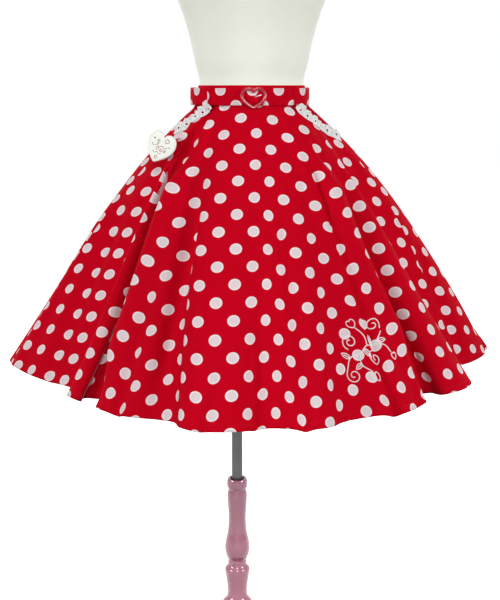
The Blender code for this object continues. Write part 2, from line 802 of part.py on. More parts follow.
def make_eyelet():
    """The metal eyelet in the belt, where the prong's tip stands."""
    x = BUCKLE_X + 0.0040
    azimuth = (x - BELT_SHIFT) / BELT_HALF[0]
    p = oval(BELT_HALF, azimuth, BELT_WALL + GAP + 0.0004 + GAP, BELT_SHIFT)
    bpy.ops.mesh.primitive_torus_add(
        major_radius=0.0019, minor_radius=0.0004, major_segments=16, minor_segments=6,
        location=(p.x, p.y, BAND_TOP_Z - 0.0205), rotation=(math.pi / 2, 0.0, azimuth),
    )
    obj = bpy.context.object
    obj.name = obj.data.name = "belt_eyelet"
    obj.data.materials.append(finish_material("silver_metal"))
    obj.data.shade_smooth()
    for owner in list(obj.users_collection):
        owner.objects.unlink(obj)
    PARTS.objects.link(obj)
    return obj


def make_brooch():
    """A flat white heart with a rounded rim and, behind it, the peg that holds it off the cloth."""
    outline = heart_outline(BROOCH_HALF_WIDTH, BROOCH_HEIGHT, 2)
    # Rings from the back to the front: share of the outline kept, and place through the thickness
    levels = ((0.93, 0.0), (1.0, 0.22), (1.0, 0.70), (0.95, 1.0), (0.88, 0.80))
    bm = bmesh.new()
    rings = []
    for keep, through in levels:
        ring = [bm.verts.new((x * keep, -BROOCH_THICK * through, z * keep)) for x, z in outline]
        rings.append(ring)
    count = len(outline)
    for back, front in zip(rings, rings[1:]):
        for i in range(count):
            j = (i + 1) % count
            bm.faces.new((back[i], back[j], front[j], front[i]))
    bm.faces.new(rings[0])
    bm.faces.new(rings[-1][::-1])
    obj = add_mesh("heart_brooch", bm, "white_plastic")
    obj.rotation_euler = (BROOCH_LEAN, BROOCH_TILT, BROOCH_TURN)
    obj.location = (
        FORM_X + BROOCH_PLACE[0],
        BROOCH_PLACE[1],
        BAND_TOP_Z + BROOCH_PLACE[2],
    )
    x, z = BROOCH_PEG_AT
    turn = obj.rotation_euler.to_matrix()
    ends = [turn @ Vector((x, GAP + reach, z)) + obj.location for reach in (0.0, BROOCH_PEG_LONG)]
    add_rod("brooch_peg", ends, BROOCH_PEG_R, "silver_metal")


# Dress form and stand


def make_form():
    rings = []
    for height, half_width, half_depth, back in FORM:
        ring = []
        for i in range(FORM_SIDES):
            turn = 2 * math.pi * i / FORM_SIDES
            ring.append((
                FORM_X + half_width * math.cos(turn),
                back + half_depth * math.sin(turn),
                BAND_TOP_Z + height,
            ))
        rings.append(ring)
    form = rings_solid("form", rings, "form_cover")

    bpy.ops.mesh.primitive_cylinder_add(
        vertices=TURNED_STEPS, radius=POLE_R + POLE_BORE, depth=2 * POLE_INTO_FORM,
        location=(0.0, 0.0, BAND_TOP_Z + FORM[0][0]),
    )
    cutter = bpy.context.object
    cutter.name = "form_socket_cutter"
    for owner in list(cutter.users_collection):
        owner.objects.unlink(cutter)
    CUT.objects.link(cutter)
    cutter.hide_render = True
    cutter.display_type = "WIRE"
    socket = form.modifiers.new("socket", "BOOLEAN")
    socket.operation = "DIFFERENCE"
    socket.solver = "EXACT"
    socket.object = cutter
    return form


def turned(name, profile, material):
    """A turned shape from a profile of radius and height, running down its outer side."""
    bm = bmesh.new()
    verts = [bm.verts.new((radius, 0.0, z)) for radius, z in profile]
    for upper, lower in zip(verts, verts[1:]):
        bm.edges.new((upper, lower))
    mesh = bpy.data.meshes.new(name)
    bm.to_mesh(mesh)
    bm.free()
    obj = bpy.data.objects.new(name, mesh)
    mesh.materials.append(finish_material(material))
    PARTS.objects.link(obj)
    screw = obj.modifiers.new("turn", "SCREW")
    screw.steps = screw.render_steps = TURNED_STEPS
    screw.use_merge_vertices = True
    screw.merge_threshold = 0.00005
    screw.use_smooth_shade = True
    return obj


def make_stand():
    socket_floor = BAND_TOP_Z - POST[0][0] - POLE_INTO_POST
    post_low = BAND_TOP_Z - POST[-1][0]
    inner = [
        (0.0, socket_floor),
        (POLE_R + POLE_BORE, socket_floor),
        (POLE_R + POLE_BORE, BAND_TOP_Z - POST[0][0] - POST_SOCKET_DEEP - 0.003),
        (POST_SOCKET_R, BAND_TOP_Z - POST[0][0] - POST_SOCKET_DEEP),
        (POST_SOCKET_R + 0.0012, BAND_TOP_Z - POST[0][0]),
    ]
    outer = [(radius, BAND_TOP_Z - deep) for deep, radius in POST]
    turned("post", inner + outer + [(0.0, post_low)], "pink_wood")

    top = post_low - GAP
    base = [
        (0.0, top),
        (0.055, top),
        (0.075, top - 0.003),
        (BASE_R - 0.012, top - 0.006),
        (BASE_R - 0.003, top - 0.009),
        (BASE_R, top - 0.014),
        (BASE_R, 0.0),
        (0.0, 0.0),
    ]
    turned("base", base, "pink_wood")

    pole_low = socket_floor + GAP
    pole_high = BAND_TOP_Z + FORM[0][0] + POLE_INTO_FORM - GAP
    bpy.ops.mesh.primitive_cylinder_add(
        vertices=TURNED_STEPS, radius=POLE_R, depth=pole_high - pole_low,
        location=(0.0, 0.0, (pole_high + pole_low) / 2),
    )
    pole = bpy.context.object
    pole.name = pole.data.name = "pole"
    pole.data.materials.append(finish_material("grey_pole"))
    pole.data.shade_smooth()
    pole.data.set_sharp_from_angle(angle=math.radians(40.0))
    for owner in list(pole.users_collection):
        owner.objects.unlink(pole)
    PARTS.objects.link(pole)


clear_scene()
PARTS = collection(COLLECTION)
CUT = collection(CUTTERS)

make_panel("skirt_front", -SIDE_SEAM, SIDE_SEAM, FRONT_COLUMNS, pocket_line)
make_panel("skirt_back_right", SIDE_SEAM, FLAT_TURN / 2, BACK_COLUMNS, lambda turn: 0.0)
make_panel("skirt_back_left", -FLAT_TURN / 2, -SIDE_SEAM, BACK_COLUMNS, lambda turn: 0.0)
for number, side_name in enumerate(("left", "right")):
    make_pocket_back("pocket_back_" + side_name, number)
    make_lace("pocket_lace_" + side_name, number)
make_waistband()
make_belt()
for number, place in enumerate(LOOP_AZIMUTHS, start=1):
    make_loop("belt_loop_%d" % number, place)
make_buckle()
make_prong()
make_eyelet()
make_brooch()
make_form()
make_stand()
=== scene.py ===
"""The looks of a dotted circle skirt with belt, lace-edged pockets and brooch on a dress form.

Metres, in the frame of the CAD model: +Z up, the front towards -Y, the floor at z = 0. The cloth is
laid out by its flat cut, so that the printed dots keep their size and bend with the folds.
"""

import json
import math

import bmesh
import bpy
import numpy as np
from mathutils import Euler, Matrix, Vector

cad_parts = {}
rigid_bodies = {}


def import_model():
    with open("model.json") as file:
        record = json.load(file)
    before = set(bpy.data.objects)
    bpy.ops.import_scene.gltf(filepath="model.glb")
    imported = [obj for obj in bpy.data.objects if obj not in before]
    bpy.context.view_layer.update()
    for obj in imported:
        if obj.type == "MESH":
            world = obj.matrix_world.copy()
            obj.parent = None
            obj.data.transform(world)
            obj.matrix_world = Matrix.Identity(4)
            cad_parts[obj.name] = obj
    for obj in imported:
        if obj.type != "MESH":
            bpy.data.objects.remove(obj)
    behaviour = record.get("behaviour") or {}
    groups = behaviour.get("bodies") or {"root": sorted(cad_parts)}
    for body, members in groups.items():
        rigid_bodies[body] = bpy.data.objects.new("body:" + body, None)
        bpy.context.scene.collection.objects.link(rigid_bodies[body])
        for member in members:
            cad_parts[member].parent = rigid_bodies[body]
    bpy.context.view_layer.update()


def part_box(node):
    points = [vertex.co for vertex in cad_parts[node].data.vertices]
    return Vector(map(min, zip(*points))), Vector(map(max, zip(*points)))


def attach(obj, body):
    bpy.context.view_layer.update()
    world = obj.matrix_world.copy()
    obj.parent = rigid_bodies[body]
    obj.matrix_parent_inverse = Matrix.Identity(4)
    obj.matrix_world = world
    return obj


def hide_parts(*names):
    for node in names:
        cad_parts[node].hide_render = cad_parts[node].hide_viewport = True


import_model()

# Where things stand, as in the CAD model
BAND_TOP_Z = 1.185
FORM_X = 0.030
FLAT_TURN = math.radians(270.0)
LENGTH = 0.648
SIDE_SEAM = math.radians(60.0)
SEAM_HALF_WIDTH = 0.1115
SEAM_HALF_DEPTH = 0.0985
SEAM_DROP = 0.040
FLARE_SIDE = (
    (0.00, 47.0),
    (0.08, 45.5),
    (0.16, 43.0),
    (0.30, 38.0),
    (0.50, 33.5),
    (0.75, 33.5),
    (1.00, 34.5),
)
FLARE_FRONT = (
    (0.00, 38.5),
    (0.15, 36.5),
    (0.35, 34.5),
    (0.60, 34.5),
    (0.75, 36.0),
    (0.88, 39.0),
    (1.00, 43.0),
)
VALLEY_DIP = 0.10

# The folds: azimuth at the waist and at the hem, how far the hem lies inside the full flare, and
# the share of the length where that begins
FOLDS = (
    (-90, -93, 0.000, 0.00),
    (-80, -80, 0.038, 0.00),
    (-71, -72, 0.072, 0.00),
    (-62, -63, 0.108, 0.00),
    (-55, -55.5, 0.078, 0.15),
    (-50, -50.5, 0.080, 0.10),
    (-47, -47.5, 0.135, 0.05),
    (-42, -42, 0.075, 0.00),
    (-38.5, -36.5, 0.066, 0.10),
    (-36, -30, 0.063, 0.10),
    (-33, -23, 0.075, 0.05),
    (-30.5, -19.5, 0.073, 0.05),
    (-27, -14.5, 0.029, 0.00),
    (-19, -9, 0.017, 0.00),
    (-7, -3, 0.023, 0.00),
    (6, 4, 0.051, 0.10),
    (16, 11.5, 0.029, 0.00),
    (25, 17, 0.033, 0.00),
    (29, 21, 0.058, 0.10),
    (31, 25, 0.068, 0.15),
    (33, 31, 0.067, 0.15),
    (35, 37, 0.050, 0.15),
    (37, 43, 0.058, 0.15),
    (39, 48.5, 0.080, 0.15),
    (42, 52, 0.135, 0.12),
    (47, 57, 0.068, 0.10),
    (53, 64, 0.046, 0.05),
    (58, 72, 0.050, 0.05),
    (63, 79, 0.105, 0.05),
    (70, 87, 0.068, 0.00),
    (78, 96, 0.010, 0.00),
    (88, 103, -0.022, 0.00),
    (101, 117, 0.105, 0.00),
    (114, 131, 0.005, 0.00),
    (130, 146, 0.115, 0.00),
    (146, 160, 0.015, 0.00),
    (161, 173, 0.105, 0.00),
    (178, 186, 0.010, 0.00),
    (195, 199, 0.115, 0.00),
    (211, 212, 0.005, 0.00),
    (226, 225, 0.110, 0.00),
    (242, 240, 0.005, 0.00),
    (257, 254, 0.090, 0.00),
)

POCKET_TOP = (math.radians(-30.5), math.radians(35.0))
POCKET_DEEP = (0.066, 0.086)
POCKET_BEND = (1.0, 0.85)
POCKET_LAP = 0.010
LACE_WALL = 0.0010
LACE_OFF = 0.0008
LACE_BELOW_TOP = 0.0070
LACE_BELOW_LOW = 0.0150
LACE_FULL = 0.070
LACE_VALLEY = 0.0065
LACE_PEAK = 0.0125
LACE_REPEATS = 6
EYELET_HALF_WIDTH = 0.0024
EYELET_HALF_HEIGHT = 0.0028
EYELET_UP = -0.0005
LACE_LEAN = 0.28
LACE_SWING = 0.0096
LACE_SWING_FROM = 0.024
LACE_TUCK = 0.0016
LACE_FRILL = 0.0010
LACE_RUFFLE = 0.0007
# Stitched rims round the eyelets and along the edges: height, how far inside, width
LACE_RIMS = ((0.00070, 0.0008, 0.0006), (0.00060, 0.0009, 0.0007))

BAND_HEIGHT = 0.0395
BAND_TOP_HALF = (0.1044, 0.0905)
BAND_LOW_HALF = (0.1105, 0.0975)
BELT_HALF = (0.1163, 0.0995)
BELT_SHIFT = -0.0035
BELT_TOP, BELT_LOW = 0.0055, 0.0375
BELT_TIP = 0.0235
BELT_WALL = 0.0015
LOOP_WIDTH = 0.009
LOOP_WALL = 0.0010
LOOP_TOP_DEEP = 0.0097  # how far inwards a loop's top end and low end go
LOOP_LOW_DEEP = 0.0042
LOOP_AZIMUTHS = (-41.3, 48.5, 97.0, 150.0, 210.0, 263.0)
BUCKLE_X = 0.0035
BUCKLE_HALF_WIDTH = 0.0240
BUCKLE_HEIGHT = 0.0400
BUCKLE_TOP = 0.0035
BUCKLE_RIM = 0.0030
BUCKLE_THICK = 0.0030
BUCKLE_LEAN = 0.0076
HEART = (
    (0.00, 0.355),
    (0.14, 0.445),
    (0.34, 0.498),
    (0.60, 0.488),
    (0.84, 0.395),
    (0.98, 0.235),
    (0.99, 0.060),
    (0.86, -0.115),
    (0.61, -0.270),
    (0.30, -0.405),
    (0.07, -0.490),
    (0.00, -0.500),
)
BROOCH_HALF_WIDTH = 0.0315
BROOCH_HEIGHT = 0.0580
BROOCH_THICK = 0.0045
BROOCH_PLACE = (-0.1730, -0.1000, -0.1170)
BROOCH_TURN = math.radians(-30.0)
BROOCH_LEAN = math.radians(-18.0)
BROOCH_TILT = math.radians(19.0)
BROOCH_FACE = 0.80  # the sunk face's height, as a share of the thickness
# Pits in the brooch's face, drawn as near-black rings of painted shade: place and size
BROOCH_PITS = (
    ((-0.0185, 0.0135), 0.0011),
    ((-0.0060, 0.0060), 0.0004),
    ((0.0190, 0.0060), 0.0005),
)
INK_R = 0.00055
PIT_R = 0.0009

# Embroidered sprig, by its middle on the flat cut, and the stitches above the hem
SPRIG_TURN = math.radians(20.4)
SPRIG_SLANT = 0.517
SPRIG_TILT = math.radians(14.0)
SPRIG_THREAD = 0.00105
STITCH = 0.0021
STITCH_STEP = 0.0031
STITCH_THREAD = 0.00022
HEM_STITCHES = 0.0125

# Dress form: height above the band's top edge, half width, half depth, how far back it is set
FORM = (
    (-0.3000, 0.1150, 0.0860, 0.002),
    (-0.2960, 0.1260, 0.0950, 0.002),
    (-0.2840, 0.1400, 0.1050, 0.003),
    (-0.2550, 0.1530, 0.1130, 0.004),
    (-0.2100, 0.1600, 0.1160, 0.004),
    (-0.1600, 0.1540, 0.1125, 0.003),
    (-0.1100, 0.1370, 0.1060, 0.002),
    (-0.0700, 0.1180, 0.0985, 0.001),
    (-0.0400, 0.1068, 0.0935, 0.000),
    (-0.0150, 0.1026, 0.0890, 0.000),
    (0.0080, 0.1023, 0.0885, 0.000),
    (0.0400, 0.1095, 0.0925, -0.001),
    (0.0840, 0.1186, 0.0975, -0.003),
    (0.1300, 0.1310, 0.1050, -0.007),
    (0.1690, 0.1445, 0.1130, -0.011),
    (0.2000, 0.1500, 0.1160, -0.012),
    (0.2350, 0.1510, 0.1090, -0.007),
    (0.2750, 0.1560, 0.0970, 0.000),
    (0.3150, 0.1640, 0.0870, 0.006),
    (0.3450, 0.1600, 0.0780, 0.010),
    (0.3680, 0.1320, 0.0690, 0.012),
    (0.3900, 0.0900, 0.0600, 0.012),
    (0.4100, 0.0640, 0.0560, 0.010),
    (0.4350, 0.0550, 0.0545, 0.006),
    (0.4600, 0.0540, 0.0540, 0.002),
    (0.4680, 0.0500, 0.0500, 0.002),
)
# Turned post: depth below the band's top edge, radius
POST = (
    (0.8085, 0.0196),
    (0.8130, 0.0212),
    (0.8190, 0.0217),
    (0.8260, 0.0212),
    (0.8315, 0.0190),
    (0.8360, 0.0200),
    (0.8450, 0.0210),
    (0.8700, 0.0197),
    (0.8960, 0.0183),
    (0.9230, 0.0200),
    (0.9430, 0.0243),
    (0.9600, 0.0264),
    (0.9740, 0.0246),
    (0.9850, 0.0205),
    (0.9880, 0.0197),
    (0.9915, 0.0203),
    (0.9950, 0.0197),
    (0.9990, 0.0207),
    (1.0090, 0.0265),
    (1.0290, 0.0240),
    (1.0580, 0.0208),
    (1.0680, 0.0218),
    (1.0820, 0.0310),
    (1.1000, 0.0385),
    (1.1180, 0.0405),
    (1.1360, 0.0360),
    (1.1450, 0.0300),
    (1.1500, 0.0330),
    (1.1600, 0.0420),
)
POLE_R = 0.01125
BASE_R = 0.150

# The print: dots in rows, each row set half a step along from the one above, in metres
DOT_STEP = 0.06272
DOT_ROWS = 0.06958
DOT_R = 0.0109
PRINT_OFFSET = (0.04737, 0.02603)
PRINT_TURN = math.radians(1.8)
# On the belt and the band, a dot's middle: along the strap, and below the band's top edge
BELT_PRINT = (0.0050, 0.0085)
BAND_PRINT = (0.0050, 0.0200)
BELT_FOLD = 0.0048  # the belt is folded lengthways, and its rows of dots are this much closer
# The front's print sits a little unevenly in its folds, more so towards the hem: flat angle from
# the centre front in degrees, then at the hem how far the print is turned there, in degrees, and
# moved down, in metres
PRINT_SHIFT = (
    (-60, -1.0, 0.000),
    (-24, -1.2, -0.004),
    (-12, 0.0, 0.000),
    (1.5, 0.0, 0.000),
    (8.5, 2.8, 0.004),
    (27, 3.2, 0.005),
    (60, 2.6, 0.000),
)

# Creases between and beside the folds, as soft troughs, and as ridges where the depth is negative:
# flat angle from the centre front where each starts and ends, in degrees, then slant length where
# it starts and ends, half width and depth, in metres
CREASES = (
    (-41.0, -39.0, 0.124, 0.260, 0.008, 0.0110),  # the deep left valley, and the edge right of it
    (-37.5, -36.0, 0.120, 0.520, 0.012, 0.0160),
    (-36.2, -34.6, 0.110, 0.660, 0.022, 0.0310),
    (-29.5, -27.2, 0.100, 0.630, 0.017, -0.0240),
    (-54.9, -48.4, 0.230, 0.660, 0.023, 0.0130),  # a trough down the left lobe
    (-62.0, -57.0, 0.200, 0.660, 0.018, -0.0070),
    (-17.8, -16.4, 0.180, 0.620, 0.014, 0.0100),  # beside the front left edge
    (-24.0, -21.5, 0.360, 0.700, 0.016, 0.0120),
    (-6.0, -7.5, 0.430, 0.700, 0.018, 0.0060),
    (1.0, 0.5, 0.420, 0.700, 0.011, 0.0060),
    (5.8, 7.2, 0.180, 0.700, 0.013, 0.0100),
    (24.2, 22.4, 0.100, 0.300, 0.007, 0.0105),  # a sharp dent under the right hip
    (23.6, 21.4, 0.200, 0.700, 0.015, 0.0165),
    (30.4, 28.2, 0.100, 0.600, 0.017, -0.0290),  # the deep right valley, and the edge left of it
    (28.4, 27.4, 0.500, 0.750, 0.017, -0.0110),
    (36.8, 38.2, 0.120, 0.660, 0.023, 0.0260),
    (50.5, 51.5, 0.300, 0.660, 0.013, 0.0080),
    (62.0, 61.0, 0.330, 0.700, 0.014, 0.0090),
    (74.0, 70.0, 0.200, 0.660, 0.015, 0.0080),  # the back right, then the back left
    (86.0, 89.0, 0.280, 0.660, 0.018, 0.0085),
    (103.0, 99.0, 0.160, 0.660, 0.013, 0.0110),
    (118.0, 121.0, 0.320, 0.660, 0.018, 0.0080),
    (-71.0, -68.0, 0.240, 0.660, 0.016, 0.0085),
    (-88.0, -91.0, 0.180, 0.660, 0.014, 0.0105),
    (-106.0, -103.0, 0.300, 0.660, 0.018, 0.0080),
    (-123.0, -126.0, 0.220, 0.660, 0.015, 0.0090),
    (-23.0, -23.5, 0.004, 0.050, 0.004, 0.0011),  # short dimples under the waist seam
    (-9.0, -8.5, 0.003, 0.040, 0.004, 0.0009),
    (7.0, 6.0, 0.004, 0.055, 0.005, 0.0012),
    (21.0, 22.0, 0.004, 0.045, 0.004, 0.0010),
    (78.0, 77.0, 0.004, 0.050, 0.005, 0.0012),
    (96.0, 97.0, 0.004, 0.045, 0.004, 0.0010),
    (125.0, 124.0, 0.004, 0.060, 0.005, 0.0012),
    (-81.0, -82.0, 0.004, 0.055, 0.005, 0.0012),
    (-99.0, -98.0, 0.004, 0.045, 0.004, 0.0010),
    (-118.0, -119.0, 0.004, 0.050, 0.005, 0.0011),
)

CREASE_FADE = 0.11  # each grows and fades over this length, or over 40% of its own where that is less

# How finely the cloth is made, and how thick
TABLE_COLUMNS = 1080
TABLE_ROWS = 87
PANEL_ROWS = 100
FRONT_COLUMNS = 430
BACK_COLUMNS = 270
CLOTH_WALL = 0.0013
SEAM_TURN_UP = 0.0022  # the panels' tops go up this far behind the belt
HEM_UP = 0.012  # the width that is turned up at the hem
HEM_WALL = 0.0006
HEM_LINE = 0.00025  # how deep the hem's stitches draw the cloth in, and how far to either side
HEM_LINE_WIDTH = 0.0025
SEAM_SHY = 0.0002  # how far a panel stays off the seam, and how its edge rolls in there
SEAM_ROLL = 0.0007
SEAM_ROLL_WIDTH = 0.0030
POCKET_INSET = 0.0021
POCKET_WALL = 0.0012
PRINT_EASE = 40  # columns over which a crease's extra length is let out again
PRINT_TAKEN = 0.55  # the share of that length which the print takes up
SHARP = math.radians(60.0)  # edges of closed shapes are sharp from this angle on

# Panels: name, flat angles where it starts and ends, columns, flat angle of its grain, flat size
# and area
BACK_MIDDLE = (SIDE_SEAM + FLAT_TURN / 2) / 2
BACK_FLAT = (0.959, 0.677)
PANELS = (
    ("front", -SIDE_SEAM, SIDE_SEAM, FRONT_COLUMNS, 0.0, (1.365, 0.718), 0.624),
    ("back_right", SIDE_SEAM, FLAT_TURN / 2, BACK_COLUMNS, BACK_MIDDLE, BACK_FLAT, 0.394),
    ("back_left", -FLAT_TURN / 2, -SIDE_SEAM, BACK_COLUMNS, -BACK_MIDDLE, BACK_FLAT, 0.394),
)

# Lamps: name, place, size across, power in watts
LAMPS = (
    ("key", (0.0, -3.2, 3.0), 1.2, 53.0),
    ("side_left", (-3.2, -1.8, 1.9), 1.1, 80.0),
    ("side_right", (3.2, -1.8, 1.9), 1.1, 80.0),
    ("back_left", (-2.2, 2.8, 2.2), 2.0, 60.0),
    ("back_right", (2.2, 2.8, 2.2), 2.0, 60.0),
    ("low", (0.0, -1.6, 0.25), 1.2, 3.0),
)
LAMP_AIM = (FORM_X, 0.0, 0.95)
FLOOR_HALF = 14.0

# Camera: focal length and sensor in millimetres, place, and how far it looks down, in degrees
CAMERA_LENS = 69.0
CAMERA_SENSOR = 36.0
CAMERA_PLACE = (FORM_X - 0.0031, -2.3, BAND_TOP_Z)
CAMERA_DOWN = 10.575


# The surface of the skirt


def out_and_down(flare, slant):
    """How far out and how far down a line of the flare goes by a slant length."""
    shares, degrees = zip(*flare)
    s = np.linspace(0.0, slant, 200)
    angle = np.radians(np.interp(s / LENGTH, shares, degrees))
    step = np.diff(s)
    return np.array([
        ((way[1:] + way[:-1]) / 2 * step).sum() for way in (np.sin(angle), np.cos(angle))
    ])


def flare_at(azimuth, slant):
    side, front = out_and_down(FLARE_SIDE, slant), out_and_down(FLARE_FRONT, slant)
    facing = (np.cos(azimuth) ** 2)[:, None]
    return (side * (1 - facing) + front * facing).T


def spans(per_span, here, slope, after, slope_after):
    """Points along cubic spans, each from one knot to the next with a slope at either end."""
    t = (np.arange(per_span) / per_span)[None, :, None]
    here, slope, after, slope_after = (v[:, None] for v in (here, slope, after, slope_after))
    points = (
        (2 * t**3 - 3 * t**2 + 1) * here
        + (t**3 - 2 * t**2 + t) * slope
        + (3 * t**2 - 2 * t**3) * after
        + (t**3 - t**2) * slope_after
    )
    return points.reshape(-1, here.shape[-1])


def closed_curve(knots, per_span=20):
    """A smooth closed curve through the knots, with slopes weighed by their chords."""
    after, before = np.roll(knots, -1, axis=0), np.roll(knots, 1, axis=0)
    chord = np.linalg.norm(after - knots, axis=1)[:, None]
    chord_before = np.roll(chord, 1, axis=0)
    slope = (
        (after - knots) / chord * chord_before + (knots - before) / chord_before * chord
    ) / (chord + chord_before)
    return spans(per_span, knots, chord * slope, after, chord * np.roll(slope, -1, axis=0))


def open_curve(knots, per_span=8):
    """A smooth open curve through the knots."""
    knots = np.array(knots, float)
    slope = np.gradient(knots, axis=0)
    points = spans(per_span, knots[:-1], slope[:-1], knots[1:], slope[1:])
    return np.vstack([points, knots[-1:]])


def fold_ring(slant, strength):
    """The skirt's plan at a slant length, with its folds at a strength, as x, y and z."""
    share = slant / LENGTH
    waist, hem, inset, start = (np.array(column, float) for column in zip(*FOLDS))
    grown = np.clip((share - start) / (1 - start), 0, 1) / max(share, 1e-6)
    azimuth = np.radians(waist + (hem - waist) * share)
    outward, _ = flare_at(azimuth, slant)
    width = SEAM_HALF_WIDTH + outward - inset * grown * strength
    deep = width - (SEAM_HALF_WIDTH - SEAM_HALF_DEPTH) * (1 - share)
    plan = closed_curve(np.stack([width * np.sin(azimuth), -deep * np.cos(azimuth)], axis=1))
    outward, down = flare_at(np.arctan2(plan[:, 0], -plan[:, 1]), slant)
    inside = SEAM_HALF_WIDTH + outward - np.hypot(plan[:, 0], plan[:, 1])
    return np.column_stack([plan, -SEAM_DROP - down - VALLEY_DIP * inside * share])


def travelled(line):
    """How far along a line each of its points lies."""
    return np.concatenate([[0.0], np.cumsum(np.linalg.norm(np.diff(line, axis=0), axis=1))])


def length_round(ring):
    return travelled(np.vstack([ring, ring[:1]]))[-1]


def evenly_spaced(ring, count):
    """Points at equal steps along a closed ring, from the back round by the left to the back."""
    closed = np.vstack([ring, ring[:1]])
    along = travelled(closed)
    i = next(
        i for i in range(len(ring)) if closed[i][0] <= 0 < closed[i + 1][0] and closed[i][1] < 0
    )
    part = -closed[i][0] / (closed[i + 1][0] - closed[i][0])
    front = along[i] + part * (along[i + 1] - along[i])
    at = (front + (np.arange(count + 1) / count - 0.5) * along[-1]) % along[-1]
    return np.stack([np.interp(at, along, closed[:, k]) for k in range(3)], axis=1)


def cloth_table():
    """Rings of the skirt, each as long round as the flat cut is at that slant length."""
    seam = length_round(fold_ring(0.0, 0.0))
    rings = []
    for slant in np.linspace(0.0, LENGTH, TABLE_ROWS):
        cut = seam + FLAT_TURN * slant
        low, high = 0.0, 2.0
        for _ in range(18):
            middle = (low + high) / 2
            if length_round(fold_ring(slant, middle)) < cut:
                low = middle
            else:
                high = middle
        rings.append(evenly_spaced(fold_ring(slant, (low + high) / 2), TABLE_COLUMNS))
    return np.array(rings), seam / FLAT_TURN


TABLE, SEAM_RADIUS = cloth_table()


def on_table(turn, slant):
    column = np.clip((turn / FLAT_TURN + 0.5) * TABLE_COLUMNS, 0, TABLE_COLUMNS)
    row = np.clip(slant / LENGTH, 0, 1) * (TABLE_ROWS - 1)
    c = np.minimum(column.astype(int), TABLE_COLUMNS - 1)
    r = np.minimum(row.astype(int), TABLE_ROWS - 2)
    u, v = (column - c)[..., None], (row - r)[..., None]
    top = TABLE[r, c] * (1 - u) + TABLE[r, c + 1] * u
    low = TABLE[r + 1, c] * (1 - u) + TABLE[r + 1, c + 1] * u
    return top * (1 - v) + low * v


def cloth_points(turn, slant, out=0.0):
    """The cloth's outer face at flat angles and slant lengths, moved outwards."""
    turn, slant, out = np.broadcast_arrays(*(np.asarray(v, float) for v in (turn, slant, out)))
    reach = 0.004
    above = np.maximum(-slant, 0.0)
    slant = np.maximum(slant, 0.0)
    aside = reach / (SEAM_RADIUS + slant)
    side = on_table(turn + aside, slant) - on_table(turn - aside, slant)
    down = on_table(turn, slant + reach) - on_table(turn, slant - reach)
    points = on_table(turn, slant) + unit(np.cross(down, side)) * out[..., None]
    points[..., 0] += FORM_X
    points[..., 2] += BAND_TOP_Z + above
    return points


def unit(ways):
    return ways / np.linalg.norm(ways, axis=-1, keepdims=True)


def crosswise(ways):
    return np.stack([ways[..., 1], -ways[..., 0]], axis=-1)


def smooth(value):
    value = np.clip(value, 0, 1)
    return value * value * (3 - 2 * value)


def crease_depth(turn, slant):
    """How far in the cloth lies in its creases, at flat angles and slant lengths."""
    depth = np.zeros(np.broadcast(turn, slant).shape)
    for start, end, high, low, half_width, deepest in CREASES:
        share = np.clip((slant - high) / (low - high), 0, 1)
        middle = np.radians(start + (end - start) * share)
        across = (turn - middle) * (SEAM_RADIUS + slant) / half_width
        fade = min(0.4 * (low - high), CREASE_FADE)
        along = smooth((slant - high) / fade)
        if low < LENGTH:
            along = along * smooth((low - slant) / fade)
        depth += deepest * along * np.exp(-across ** 2)
    return depth


def round_form(halves, azimuth, out, drop, shift=0.0):
    """Places round the form on ovals, moved outwards, at drops below the band's top edge.

    The ovals' half width and half depth go from the first of halves, at the band's top edge, to
    the second, at its lower edge.
    """
    azimuth, out, drop = np.broadcast_arrays(azimuth, out, drop)
    top, low = np.array(halves)
    half = top + (low - top) * (drop / BAND_HEIGHT)[..., None]
    way = np.stack([np.sin(azimuth), -np.cos(azimuth)], axis=-1)
    flat = way * half + unit(way / half) * out[..., None]
    return np.stack([FORM_X + shift + flat[..., 0], flat[..., 1], BAND_TOP_Z - drop], axis=-1)


# Materials


